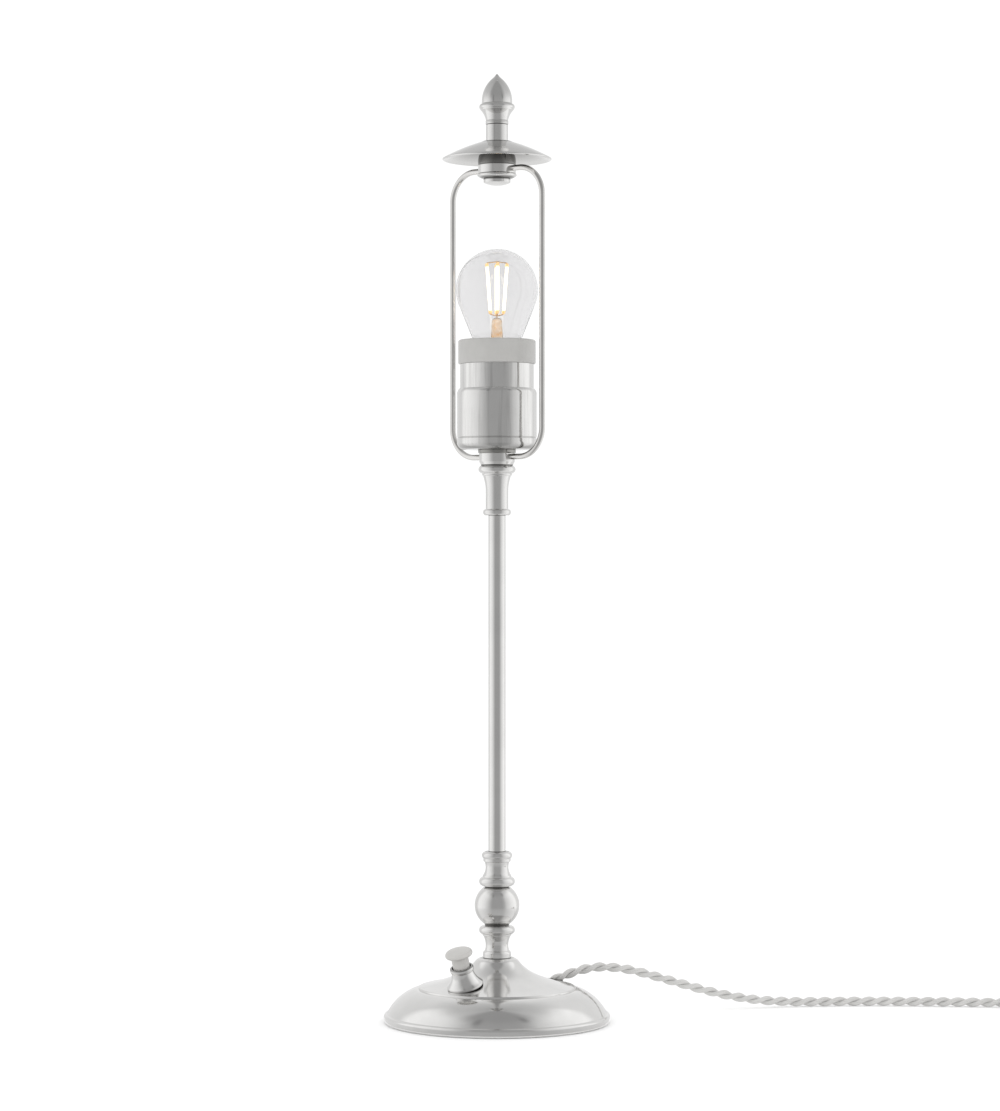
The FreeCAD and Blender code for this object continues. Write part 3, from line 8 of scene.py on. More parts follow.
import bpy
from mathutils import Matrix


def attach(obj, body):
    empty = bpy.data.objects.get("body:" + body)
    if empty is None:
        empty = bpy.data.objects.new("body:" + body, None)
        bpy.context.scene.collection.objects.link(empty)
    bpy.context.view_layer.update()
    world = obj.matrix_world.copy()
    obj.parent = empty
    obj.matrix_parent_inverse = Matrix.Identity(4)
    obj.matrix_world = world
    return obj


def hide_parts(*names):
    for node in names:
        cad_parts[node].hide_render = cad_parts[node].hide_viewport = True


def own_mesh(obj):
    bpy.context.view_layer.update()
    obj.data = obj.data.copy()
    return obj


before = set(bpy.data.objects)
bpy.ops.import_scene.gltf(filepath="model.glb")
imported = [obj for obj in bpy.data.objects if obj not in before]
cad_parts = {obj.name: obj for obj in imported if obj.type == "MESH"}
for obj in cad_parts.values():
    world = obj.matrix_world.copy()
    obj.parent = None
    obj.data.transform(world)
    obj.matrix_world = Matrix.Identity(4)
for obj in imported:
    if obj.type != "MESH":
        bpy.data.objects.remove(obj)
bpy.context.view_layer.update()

# %% Tools used all through
from math import acos, asin, atan, atan2, ceil, cos, degrees, hypot, pi, radians, sin, sqrt, tan

import bmesh
import bpy
from mathutils import Matrix, Vector

MM = 0.001
FULL_TURN = 2 * pi
scene = bpy.context.scene


def add_object(name, data):
    """Puts data in the scene under a name, at the origin."""
    made = bpy.data.objects.new(name, data)
    scene.collection.objects.link(made)
    return made


def polar(radius, angle, height=0.0):
    """A point at a distance and a bearing from the stem."""
    return Vector((radius * cos(angle), radius * sin(angle), height))


# %% [markdown]
# ## The camera
# The camera stands far off with a long lens, level with the middle of the stem and well to the
# right of the switch. It could be aimed with a constraint, but plain numbers say exactly where it
# stands, and every other view is turned from them.

# %% Camera
CAMERA_BEARING = radians(41)     # turn of the camera round the lamp, from straight ahead
CAMERA_DISTANCE = 1.733
CAMERA_HEIGHT = 0.2563
CAMERA_ASIDE = 0.00165                # the lamp stands this far left of the view's middle
SENSOR_WIDTH, LONG_LENS = 36.0, 102.2  # millimetres
camera_right = polar(1, CAMERA_BEARING)
toward_camera = polar(1, CAMERA_BEARING - pi / 2)

camera_data = bpy.data.cameras.new("camera")
camera_data.sensor_width = SENSOR_WIDTH
camera_data.lens = LONG_LENS
camera = add_object("camera", camera_data)
camera.location = toward_camera * CAMERA_DISTANCE + camera_right * CAMERA_ASIDE
camera.location.z = CAMERA_HEIGHT
camera.rotation_euler = (radians(90), 0, CAMERA_BEARING)
scene.camera = camera
print("camera at", [round(c, 4) for c in camera.location])

# %% [markdown]
# ## A small language for node trees
# Shader and geometry trees can be clicked together or written node by node. Written out, the maths
# drowns in links. So one class wraps a socket and turns + - * / and ** into Math nodes, and one
# method adds any other node: the values of its sockets, the socket to hand back and its settings.

# %% Wires and node trees
class Wire:
    """One output socket; arithmetic on it adds Math nodes to its tree."""

    def __init__(self, maker, socket):
        self.maker = maker
        self.socket = socket

    def maths(self, operation, other=0.0):
        """One Math node, with this wire as its first value."""
        return self.maker.add("ShaderNodeMath", {0: self, 1: other}, operation=operation)

    def __abs__(self):
        return self.maths("ABSOLUTE")


for sign, operation in (("add", "ADD"), ("sub", "SUBTRACT"), ("mul", "MULTIPLY"), ("truediv", "DIVIDE"),
                        ("pow", "POWER")):
    setattr(Wire, f"__{sign}__", lambda self, other, operation=operation: self.maths(operation, other))


class NodeMaker:
    """Adds nodes to one tree."""

    def __init__(self, tree):
        self.tree = tree

    def plug(self, node, sockets):
        """Puts a wire or a plain value into sockets of a node."""
        for name, value in sockets.items():
            if isinstance(value, Wire):
                self.tree.links.new(value.socket, node.inputs[name])
            else:
                node.inputs[name].default_value = value

    def add(self, kind, sockets=None, out=0, **settings):
        node = self.tree.nodes.new(kind)
        for name, value in settings.items():
            setattr(node, name, value)
        self.plug(node, sockets or {})
        return Wire(self, node.outputs[out]) if out is not None else node

    def split(self, vector):
        node = self.add("ShaderNodeSeparateXYZ", {0: vector}, None)
        return [Wire(self, output) for output in node.outputs]

    def join(self, x, y, z):
        return self.add("ShaderNodeCombineXYZ", {0: x, 1: y, 2: z})


def rgb(r, g, b, part=1.0):
    """A colour, or a part of its brightness."""
    return (r * part, g * part, b * part, 1.0)


# %% [markdown]
# ## Finishes
# Each finish starts from the same kind of place: Object coordinates, which never stretch, because
# every piece keeps its place in its mesh. A finish is one Principled shader, and noise moves its
# colour, roughness and bump a little, as hands, polishing and time do on real pieces.

# %% A finish and its parts
class Finish(NodeMaker):
    """One material: a Principled shader with an output, and helpers that feed it."""

    def __init__(self, name, settings=None, axis=None):
        """An axis, a foot and its turns, centres the finish on a leaning piece."""
        self.material = bpy.data.materials.new(name)
        self.material.use_nodes = True
        super().__init__(self.material.node_tree)
        self.tree.nodes.clear()
        self.shader = self.add("ShaderNodeBsdfPrincipled", settings, None)
        self.add("ShaderNodeOutputMaterial", {"Surface": Wire(self, self.shader.outputs[0])}, None)
        self.place = self.add("ShaderNodeTexCoord", {}, "Object")
        if axis:
            self.place = self.add("ShaderNodeMapping", {
                "Vector": self.place, "Location": axis[0], "Rotation": axis[1]}, vector_type="TEXTURE")

    def noise(self, scale, detail=3.0, vector=None, roughness=0.55, out="Fac"):
        return self.add("ShaderNodeTexNoise", {
            "Vector": vector or self.place, "Scale": scale, "Detail": detail, "Roughness": roughness}, out)

    def spread(self, wire, low, high, from_low=0.3, from_high=0.7):
        """A value stretched from one range to another, held inside it."""
        return self.add("ShaderNodeMapRange", {
            "Value": wire, "From Min": from_low, "From Max": from_high, "To Min": low, "To Max": high})

    def blend(self, factor, first, second):
        return self.add("ShaderNodeMix", {0: factor, 6: first, 7: second}, 2, data_type="RGBA")

    def mottle(self, noise, first, second):
        """Two shades in soft patches, where the noise says."""
        return self.blend(self.spread(noise, 0.0, 1.0), first, second)

    def done(self, sockets, height, strength, depth):
        """Feeds the shader, adds a bump of some depth, and hands over the material."""
        bump = self.add("ShaderNodeBump", {"Height": height, "Strength": strength, "Distance": depth})
        self.plug(self.shader, {**sockets, "Normal": bump})
        return self.material

    def rings(self):
        """Distance from the axis and height along it: what the turning tool saw."""
        x, y, z = self.split(self.place)
        return (x * x + y * y) ** 0.5, z


# %% [markdown]
# ## Heights and axes
# Every turned piece stands on the one below it, so each foot is the one before plus a height, in
# millimetres. The outlines of the pieces use these names, and so do the finishes, which paint shade
# where two pieces meet. The switch and the cord's hole have axes of their own that lean outward.

# %% Feet of the pieces on the stem
NECK_TOP = 35.5
BALL_FOOT = NECK_TOP + 18.8
BALL_TOP = BALL_FOOT + 19.8
COLLAR_TOP = BALL_TOP + 19.8
CROWN_FOOT = 278.4
HARP_FOOT = CROWN_FOOT + 27.5
WASHER_FOOT = HARP_FOOT + 6.6
HOLDER_FOOT = WASHER_FOOT + 2.0
MOUTH_FOOT = HOLDER_FOOT + 47.0
BULB_TIP = 346.6
CAP_NUT_FOOT = 459.5
HUB_FOOT = CAP_NUT_FOOT + 3.9
BOSS_FOOT = HUB_FOOT + 7.4
DISC_FOOT = BOSS_FOOT + 11.7
SPACER_FOOT = DISC_FOOT + 1.2
FINIAL_FOOT = SPACER_FOOT + 9.2
print("the finial stands at", round(FINIAL_FOOT, 1), "mm")

# %% Leaning axes of the switch and the cord's hole
SWITCH_TURNS = (radians(18.5), 0, radians(5.5))       # lean, none, bearing
SWITCH_FOOT = polar(29.5, SWITCH_TURNS[2] - pi / 2, 23.1) * MM
EXIT_TURNS = (radians(-12), 0, radians(-3.5))
EXIT_POINT = polar(44.9, EXIT_TURNS[2] + pi / 2, 18.4) * MM


def leaning(foot, turns):
    """Place of a piece that leans: first the lean, then the bearing, then the step to its foot."""
    return Matrix.Translation(foot) @ Matrix.Rotation(turns[2], 4, "Z") @ Matrix.Rotation(turns[0], 4, "X")


SWITCH_PLACE = leaning(SWITCH_FOOT, SWITCH_TURNS)
EXIT_PLACE = leaning(EXIT_POINT, EXIT_TURNS)

# %% [markdown]
# ### Nickel plate on turned brass
# Polished nickel mirrors the room with a soft edge. It could be one mirror colour, but real plate
# shows faint smudges, and the fine rings that the lathe left: here a noise read only by radius and
# height makes the rings, and a wide soft noise makes the smudges. Shade is painted into the colour as
# dark bands where two pieces meet and in hollows: each band has a height, a reach, a fade and a depth.

# %% Nickel
# painted shade: the dark colour that the bands of shade fade into
PAINTED_SEAM_SHADE = rgb(0.06, 0.057, 0.052)


def nickel(name, shade=(0.79, 0.785, 0.775), rough=0.07, axis=None, shade_bands=(), drawn=0.0):
    """Mirror finish with painted shade in dark bands where pieces meet and in hollows; drawn adds the marks
    of deep drawing.
    """
    finish = Finish(name, {"Metallic": 1.0}, axis)
    radius, height = finish.rings()
    ring = finish.noise(1.0, 2.0, finish.join(radius * 5200.0, 0.0, height * 5200.0))
    haze = finish.noise(55.0, 4.0)
    touch = finish.noise(240.0, 2.0)
    smudge = finish.spread(haze, rough - 0.02, rough + 0.05) + finish.spread(touch, -0.01, 0.015)
    colour = finish.mottle(haze, rgb(*shade), rgb(*shade, 0.93))
    # painted shade: near each band's height the colour fades into the dark
    for middle, reach, fade, depth in shade_bands:
        off = abs(height - middle * MM) + haze * (0.2 * MM)
        colour = finish.blend(finish.spread(off, depth, 0.0, reach * MM, (reach + fade) * MM), colour, PAINTED_SEAM_SHADE)
    relief = ring + haze * 2.0
    if drawn:
        x, y, z = finish.split(finish.place)
        marks = finish.noise(1.0, 3.0, finish.join(x * 420.0, y * 420.0, z * 22.0))
        streaks = finish.spread(marks, 0.0, 0.38, 0.5, 0.78)
        colour = finish.blend(streaks, colour, rgb(0.3, 0.295, 0.285))
        relief = relief + marks * drawn
    return finish.done({"Base Color": colour, "Roughness": smudge + ring * 0.02}, relief, 0.05, 0.00002)


# %% Nickel of each piece
# painted shade bands where the stacked pieces meet and in their grooves
STACK_SHADE_BANDS = [          # height, reach, fade and depth
    (NECK_TOP + 0.1, 0.1, 0.35, 0.8), (BALL_FOOT - 0.65, 0.5, 0.3, 0.95), (BALL_TOP + 0.4, 0.3, 0.3, 0.9),
    (COLLAR_TOP, 0.1, 0.35, 0.7), (CROWN_FOOT - 0.1, 0.1, 0.35, 0.7), (HARP_FOOT, 0.25, 0.3, 0.9),
    (HUB_FOOT, 0.6, 0.6, 0.75), (BOSS_FOOT, 0.1, 0.4, 0.7), (FINIAL_FOOT + 0.1, 0.1, 0.35, 0.7)]
# painted shade: bands at the cup's rolled line and under its foot, and at the bell's top and foot
SHELL_SHADE_BANDS = [(HOLDER_FOOT + 6.5, 0.1, 0.5, 0.35), (HOLDER_FOOT, 1.0, 2.5, 0.5)]
BELL_SHADE_BANDS = [(11.2, 0.3, 0.3, 0.6), (0, 0.3, 0.5, 0.7)]
NICKEL = nickel("nickel_turned", shade_bands=STACK_SHADE_BANDS)
NICKEL_SHELL = nickel("nickel_lampholder", rough=0.055, shade_bands=SHELL_SHADE_BANDS, drawn=40.0)
NICKEL_BELL = nickel("nickel_bell", axis=(SWITCH_FOOT, SWITCH_TURNS), shade_bands=BELL_SHADE_BANDS)
# painted shadow: a dark band in the eyelet's mouth, round the cord
NICKEL_EYELET = nickel("nickel_eyelet", axis=(EXIT_POINT, EXIT_TURNS), shade_bands=[(0.5, 0.9, 0.3, 0.95)])
# painted shade: the washer and the boss take darker copies of the nickel, for the shade and dark reflections
# round them
NICKEL_WASHER_SHADED = nickel("nickel_washer", shade=(0.36, 0.355, 0.34), rough=0.14)
NICKEL_BOSS_SHADED = nickel("nickel_boss", shade=(0.22, 0.217, 0.21), rough=0.12)
# painted shade: a band round the spacer's foot on the disc, and a wide one on its underside next to the boss
NICKEL_DISC = nickel("nickel_disc", shade_bands=[(SPACER_FOOT + 0.2, 0.9, 0.8, 0.7)])
NICKEL_DISC_UNDER_SHADED = nickel("nickel_disc_underside", shade_bands=[(DISC_FOOT + 2.0, 3.0, 7.0, 0.85)])

# %% [markdown]
# ### Drawn wire
# The harp's wire was pulled through a die, so its marks run along it. Its own UV map gives the
# length along the wire and the way round it, and noise stretched along the length makes the lines.

# %% Nickel on drawn wire
def drawn_wire(name):
    finish = Finish(name, {"Metallic": 1.0})
    along, around, _ = finish.split(finish.add("ShaderNodeUVMap", uv_map="UVMap"))
    line = finish.noise(1.0, 2.0, finish.join(along * 90.0, around * 26.0, 0.0))
    haze = finish.noise(80.0)
    return finish.done({
        "Base Color": finish.mottle(haze, rgb(0.74, 0.73, 0.715), rgb(0.68, 0.67, 0.655)),
        "Roughness": finish.spread(haze, 0.13, 0.19) + line * 0.03}, line, 0.06, 0.00002)


NICKEL_WIRE = drawn_wire("nickel_wire")

# %% [markdown]
# ### Porcelain
# The mouth ring of the lampholder and the button are pale unglazed-looking porcelain with a thin
# glaze. Speckles and a slight unevenness of the glaze keep it from looking like plastic.

# %% Porcelain
def porcelain(name, shade, axis=None):
    finish = Finish(name, {"Coat Roughness": 0.12, "Specular IOR Level": 0.45}, axis)
    cloud = finish.noise(90.0, 4.0)
    speck = finish.noise(2400.0, 1.0)
    body = finish.mottle(cloud, rgb(*shade), rgb(*shade, 0.9))
    freckles = finish.spread(speck, 0.0, 0.5, 0.66, 0.74)
    return finish.done({
        "Base Color": finish.blend(freckles, body, rgb(*shade, 0.72)),
        "Roughness": finish.spread(cloud, 0.32, 0.46), "Coat Weight": finish.spread(cloud, 0.35, 0.55)},
        cloud + speck * 0.15, 0.12, 0.00006)


PORCELAIN = porcelain("porcelain_ring_glaze", (0.47, 0.465, 0.45))
PORCELAIN_BUTTON = porcelain("porcelain_button_glaze", (0.56, 0.55, 0.53), (SWITCH_FOOT, SWITCH_TURNS))

# %% [markdown]
# ### Glass
# The bulb is thin blown glass with an outer and an inner wall. A see-through trick could fake it,
# but two real walls bend light as the bulb does, darker towards the outline. Faint waviness and a
# breath of dust stop it from being too perfect.

# %% Glass
def clear_glass(name, shade, rough, glow_patches=None, wave_scale=70.0):
    finish = Finish(name, {"Transmission Weight": 1.0, "IOR": 1.46})
    wave = finish.noise(wave_scale, 2.0)
    dust = finish.noise(900.0, 3.0)
    other = rgb(*glow_patches) if glow_patches else rgb(*shade, 0.985)
    return finish.done({
        "Base Color": finish.mottle(wave, rgb(*shade), other),
        "Roughness": finish.spread(dust, 0.0, rough, 0.45, 0.8)}, wave, 0.08, 0.0001)


BULB_GLASS = clear_glass("bulb_glass_clear", (0.868, 0.865, 0.868), 0.03)
# painted glow: the stem's warm tint and orange patches stand in for the filaments' light in it
STEM_GLASS = clear_glass("stem_glass_clear", (1.0, 0.93, 0.82), 0.05, (0.98, 0.56, 0.24), 420.0)

# %% [markdown]
# ### Plain metals, iron, felt and plastics
# The hidden pieces deserve a true finish too, since anyone may take the lamp apart. One helper
# serves the metals: a shade, a roughness and a grain that is fine for turned brass and coarse for
# cast iron. Felt and plastic have helpers of their own.

# %% Metals
def plain_metal(name, shade, rough, grain=600.0, depth=0.00003, patina=None):
    finish = Finish(name, {"Metallic": 1.0})
    cloud = finish.noise(130.0, 4.0)
    fine = finish.noise(grain, 3.0)
    worn = rgb(*patina) if patina else rgb(*shade, 0.8)
    return finish.done({
        "Base Color": finish.mottle(cloud, rgb(*shade), worn),
        "Roughness": finish.spread(fine, rough - 0.06, rough + 0.08)}, fine + cloud * 0.5, 0.3, depth)


STEEL = plain_metal("zinc_plated_steel", (0.60, 0.61, 0.62), 0.34, patina=(0.52, 0.52, 0.49))
BRASS = plain_metal("turned_brass", (0.80, 0.61, 0.30), 0.24, 1500.0, patina=(0.62, 0.45, 0.21))
IRON = plain_metal("cast_iron", (0.10, 0.10, 0.105), 0.62, 900.0, 0.0004)
ALUMINIUM = plain_metal("rolled_aluminium", (0.72, 0.72, 0.72), 0.26, 1200.0)
PIN_METAL = plain_metal("plug_pin_metal", (0.70, 0.685, 0.65), 0.2, 1800.0)
SUPPORT_WIRE = plain_metal("support_wire", (0.86, 0.60, 0.34), 0.3, 2500.0, patina=(0.78, 0.50, 0.26))

# %% Felt
def felt(name):
    finish = Finish(name, {"Sheen Weight": 0.6, "Sheen Roughness": 0.6})
    tuft = finish.noise(1500.0, 5.0)
    warp = finish.noise(300.0, 2.0, roughness=0.5, out="Color")
    hair = finish.noise(4200.0, 2.0, warp)
    return finish.done({
        "Base Color": finish.mottle(tuft, rgb(0.045, 0.045, 0.05), rgb(0.10, 0.10, 0.105)),
        "Roughness": finish.spread(hair, 0.85, 1.0)}, tuft + hair, 0.8, 0.0003)


FELT = felt("wool_felt")

# %% Plastics
def plastic(name, shade, rough=0.42, grain=1400.0):
    finish = Finish(name, {"Specular IOR Level": 0.5})
    cloud = finish.noise(160.0, 3.0)
    pebble = finish.noise(grain, 2.0)
    return finish.done({
        "Base Color": finish.mottle(cloud, rgb(*shade), rgb(*shade, 0.92)),
        "Roughness": finish.spread(pebble, rough - 0.05, rough + 0.08)}, pebble, 0.25, 0.00004)


BLACK_PLASTIC = plastic("pressed_black_plastic", (0.03, 0.03, 0.032))
PLUG_PLASTIC = plastic("plug_grey_plastic", (0.60, 0.60, 0.585))
BLOCK_PLASTIC = plastic("block_milky_plastic", (0.74, 0.74, 0.72), 0.35)
TIE_BAND = plastic("tie_band_plastic", (0.80, 0.80, 0.79), 0.5, 3000.0)
LEAD_SKIN = plastic("lead_insulation", (0.70, 0.70, 0.69), 0.38, 2600.0)
BLACK_GLASS = plastic("black_glass_ring", (0.015, 0.015, 0.02), 0.12)

# %% [markdown]
# ### Glowing strips
# Each filament is a coated strip of tiny lights. Its colour is near white in the middle of the rod
# and amber at its ends, where the coating thins out towards the metal clip.

# %% Glow
def glow(name, strength, hot, cool, low_z, high_z):
    finish = Finish(name, {"Roughness": 0.5, "Emission Strength": strength})
    _, _, z = finish.split(finish.place)
    off_middle = abs((z - (low_z + high_z) / 2) / ((high_z - low_z) / 2))
    grain = finish.noise(1800.0, 2.0)
    end = finish.spread(off_middle + grain * 0.06, 0.0, 1.0, 0.84, 0.98)
    return finish.done({
        "Emission Color": finish.blend(end, rgb(*hot), rgb(*cool)),
        "Base Color": finish.blend(end, rgb(0.95, 0.85, 0.5), rgb(0.9, 0.6, 0.2))}, grain, 0.2, 0.00005)


FILAMENT_FOOT, FILAMENT_H = BULB_TIP + 42.6, 27.5
FILAMENT_GLOW = glow("filament_glow", 2.6, (1.0, 0.90, 0.72), (0.42, 0.19, 0.05),
                     FILAMENT_FOOT * MM, (FILAMENT_FOOT + FILAMENT_H) * MM)

# %% [markdown]
# ### Braided cotton
# Each strand of the cord wears a braided sleeve. Two sets of diagonal yarns cross over each other,
# so the height is the higher of two slanted waves read from the strand's own UV map.

# %% Textile
YARNS = 8


def braid(name):
    finish = Finish(name, {"Sheen Weight": 0.25, "Sheen Roughness": 0.5})
    along, around, _ = finish.split(finish.add("ShaderNodeUVMap", uv_map="UVMap"))
    fuzz = finish.noise(2600.0, 3.0)

    def yarns(direction):
        turn = along * 2600.0 + around * (FULL_TURN * YARNS * direction) + fuzz * 0.8
        return turn.maths("SINE") * 0.5 + 0.5

    height = yarns(1).maths("MAXIMUM", yarns(-1))
    cloud = finish.noise(120.0, 2.0)
    # painted shade: the braid is darker where the yarns run low, in the hollows between them
    shade = finish.blend(height, rgb(0.40, 0.395, 0.385), rgb(0.66, 0.655, 0.64))
    return finish.done({
        "Base Color": finish.blend(finish.spread(cloud, 0.0, 0.35), shade, rgb(0.72, 0.715, 0.70)),
        "Roughness": finish.spread(height, 0.95, 0.8, 0.0, 1.0)}, height + fuzz * 0.4, 0.5, 0.0001)


TEXTILE = braid("braided_grey_cotton")
print("finishes made:", len(bpy.data.materials))

# %% [markdown]
# ## The cord
# A twisted pair of braided strands leaves the base through an eyelet, arches down to the table and
# runs off along it. The rest is wound into a neat tied coil, with the plug beside it. The cord's
# line could be traced densely, but a smooth spline through a few chosen control points bends like
# a real cord. The coil's turns are more points of the same spline.

# %% The cord's line
CORD_POINTS = [          # millimetres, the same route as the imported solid's
    (1.1, 43.0, 17.6), (13.2, 56.5, 25.8), (28.2, 74.2, 25.4), (44.2, 95.5, 17.5), (59.9, 117.2, 9.3),
    (74.8, 136.5, 4.4), (89.6, 156.1, 2.7), (113.0, 181.0, 2.7), (142.6, 204.8, 2.7), (170.9, 224.1, 2.7),
    (193.2, 241.1, 2.7), (211.9, 256.2, 2.7)]
COIL_MIDDLE = (241.3, 237.6)
COIL_START = 131.0       # bearing of the coil's first control point, in degrees
COIL_STEP, COIL_STEPS = 30.0, 101     # degrees between the control points, and how many steps
COIL_SLOTS = [           # radius and height of each turn, laid beside and over each other
    (33.4, 3.3), (28.0, 3.3), (22.6, 3.3), (22.6, 8.7), (22.6, 14.1), (28.0, 14.1),
    (28.0, 8.7), (33.4, 8.7), (33.4, 14.1)]
SPLINE_SHRINK = cos(radians(COIL_STEP / 2))     # a spline cuts inside its control points
PLUG_TAIL = [(269.4, 215.7, 6.85), (266.3, 203.3, 6.85)]


def coil_point(step):
    """Control point of the coil: it keeps its slot for most of a turn, then moves to the next."""
    turn, part = divmod(step * COIL_STEP / 360.0, 1.0)
    here = COIL_SLOTS[int(turn)]
    there = COIL_SLOTS[min(int(turn) + 1, len(COIL_SLOTS) - 1)]
    shift = max(0.0, (part - 5 / 6) * 6)      # the last sixth of a turn leads to the next slot
    radius = (here[0] + (there[0] - here[0]) * shift) / SPLINE_SHRINK
    angle = radians(COIL_START - step * COIL_STEP)
    return (COIL_MIDDLE[0] + radius * cos(angle), COIL_MIDDLE[1] + radius * sin(angle),
            here[1] + (there[1] - here[1]) * shift)


route = CORD_POINTS + [coil_point(step) for step in range(COIL_STEPS + 1)] + PLUG_TAIL
line_data = bpy.data.curves.new("cord_line", "CURVE")
line_data.dimensions = "3D"
line_data.resolution_u = 14
spline = line_data.splines.new("NURBS")
spline.points.add(len(route) - 1)
for point, place in zip(spline.points, route):
    point.co = (place[0] * MM, place[1] * MM, place[2] * MM, 1.0)
spline.order_u = 3
spline.use_endpoint_u = True
line = add_object("cord_line", line_data)
bpy.context.view_layer.update()
graph = bpy.context.evaluated_depsgraph_get()
line_mesh = bpy.data.meshes.new_from_object(line.evaluated_get(graph))
cord_path = [vertex.co.copy() for vertex in line_mesh.vertices]
bpy.data.objects.remove(line)

# %% [markdown]
# ### Sweeping a round section along a path
# A curve's bevel could make a round bar, but the cord's strands turn about the path, and the harp's
# wire needs a UV map that follows it. So one helper walks along the points and carries a frame with
# it that never spins by itself, and one builds the tube's rings.

# %% Path helpers
def walk(points):
    """Point, side and lift at each path point, with no twist of its own, and the length so far."""
    steps = []
    side = None
    run = 0.0
    for index, point in enumerate(points):
        ahead = points[min(index + 1, len(points) - 1)] - points[max(index - 1, 0)]
        ahead.normalize()
        if side is None:
            side = ahead.cross(Vector((0, 0, 1)) if abs(ahead.z) < 0.9 else Vector((0, 1, 0)))
        side = (side - ahead * side.dot(ahead)).normalized()
        if index:
            run += (point - points[index - 1]).length
        steps.append((point, side.copy(), ahead.cross(side), run))
    return steps


def even_points(points, gap):
    """The same path with points at an even distance."""
    lengths = [0.0]
    for a, b in zip(points, points[1:]):
        lengths.append(lengths[-1] + (b - a).length)
    count = max(2, round(lengths[-1] / gap))
    evened = []
    index = 0
    for step in range(count + 1):
        target = lengths[-1] * step / count
        while index < len(points) - 2 and lengths[index + 1] < target:
            index += 1
        part = (target - lengths[index]) / (lengths[index + 1] - lengths[index])
        evened.append(points[index].lerp(points[index + 1], min(1.0, part)))
    return evened


def beside(step, angle, distance):
    """A point off the path, so far out from it and so far round it."""
    point, side, lift, _ = step
    return point + (side * cos(angle) + lift * sin(angle)) * distance


def add_bar(verts, faces, uvs, points, radius, sides):
    """Appends a closed round bar along the points to the lists of a mesh."""
    base = len(verts)
    steps = walk(points)
    verts += [beside(step, FULL_TURN * k / sides, radius) for step in steps for k in range(sides)]
    for ring in range(len(steps) - 1):
        low, high = steps[ring][3], steps[ring + 1][3]
        for k in range(sides):
            a = base + ring * sides + k
            b = base + ring * sides + (k + 1) % sides
            left, right = k / sides, (k + 1) / sides
            faces.append((a, a + sides, b + sides, b))
            uvs.append(((low, left), (high, left), (high, right), (low, right)))
    for ring, order in ((0, 1), (len(steps) - 1, -1)):
        cap = [base + ring * sides + k for k in range(sides)][::order]
        faces.append(tuple(cap))
        uvs.append(tuple((steps[ring][3], 0.0) for _ in cap))


def new_piece(name, verts, faces, material, uvs=None, sharp=38.0):
    """A smooth shaded mesh object at the origin, its faces outward."""
    mesh = bpy.data.meshes.new(name)
    mesh.from_pydata([tuple(v) for v in verts], [], faces)
    if uvs:
        layer = mesh.uv_layers.new(name="UVMap")
        layer.data.foreach_set("uv", [value for face_uvs in uvs for uv in face_uvs for value in uv])
    tidy = bmesh.new()
    tidy.from_mesh(mesh)
    bmesh.ops.recalc_face_normals(tidy, faces=tidy.faces)
    tidy.to_mesh(mesh)
    tidy.free()
    mesh.polygons.foreach_set("use_smooth", [True] * len(mesh.polygons))
    mesh.set_sharp_from_angle(angle=radians(sharp))
    mesh.materials.append(material)
    return add_object(name, mesh)


def bar_piece(name, lines, radius, material, sides, sharp=38.0):
    """A piece made of round bars swept along lines of points."""
    verts, faces, uvs = [], [], []
    for points in lines:
        add_bar(verts, faces, uvs, points, radius, sides)
    return new_piece(name, verts, faces, material, uvs, sharp)


def settle(piece, body, slot, *nodes):
    """Says which body the piece moves with and which nodes it stands for; the slot is not used."""
    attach(piece, body)
    if nodes:
        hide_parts(*nodes)
    piece.data.calc_loop_triangles()
    print(piece.name, "rides on", body, "triangles", len(piece.data.loop_triangles))


# %% The twisted strands
STRAND_R = 0.00135
TWIST_PITCH, POINTS_A_TWIST = 0.0168, 14
cord_line = even_points(cord_path, TWIST_PITCH / POINTS_A_TWIST)


def strand(start):
    """Line of one strand, which winds round the cord's line from a starting angle."""
    return [beside(step, start - FULL_TURN * step[3] / TWIST_PITCH, STRAND_R) for step in walk(cord_line)]


cord = bar_piece("cord_twisted_pair", [strand(0.0), strand(pi)], STRAND_R, TEXTILE, sides=12, sharp=80.0)
settle(cord, "stand", "grey_textile", "cord", "cord_coil", "cord_tail")

# %% [markdown]
# ## Turned pieces
# Spinning an outline on a lathe is how the real pieces were made, and the same idea makes their
# meshes: a half outline drawn edge by edge, turned round an axis. Real edges are never knife sharp,
# so each corner gets a tiny round, with a guard ring beside it that keeps the flats flat.

# %% The pen and the lathe
ON_AXIS = 1e-6            # a smaller radius counts as none
ARC_STEPS, ARC_DEGREES, ARC_MM = 4, 6, 1.5     # fewest steps of an arc, and the widest ones
CORNER, ROUND_DEGREES = 14, 24                 # least turn of a real corner, and a step of its round


def arc(a, b, c):
    """Points of the arc from a over b to c, without a itself."""
    d = 2 * (a.x * (b.y - c.y) + b.x * (c.y - a.y) + c.x * (a.y - b.y))
    aa, bb, cc = a.dot(a), b.dot(b), c.dot(c)
    middle = Vector(((aa * (b.y - c.y) + bb * (c.y - a.y) + cc * (a.y - b.y)) / d,
                     (aa * (c.x - b.x) + bb * (a.x - c.x) + cc * (b.x - a.x)) / d))
    start, over, end = (atan2(spot.y - middle.y, spot.x - middle.x) for spot in (a, b, c))
    turn = (end - start) % FULL_TURN
    if (over - start) % FULL_TURN > turn:
        turn -= FULL_TURN
    radius = (a - middle).length
    steps = max(ARC_STEPS, ceil(degrees(abs(turn)) / ARC_DEGREES), ceil(abs(turn) * radius / ARC_MM))
    return [middle + polar(radius, start + turn * step / steps).xy for step in range(1, steps)] + [c]


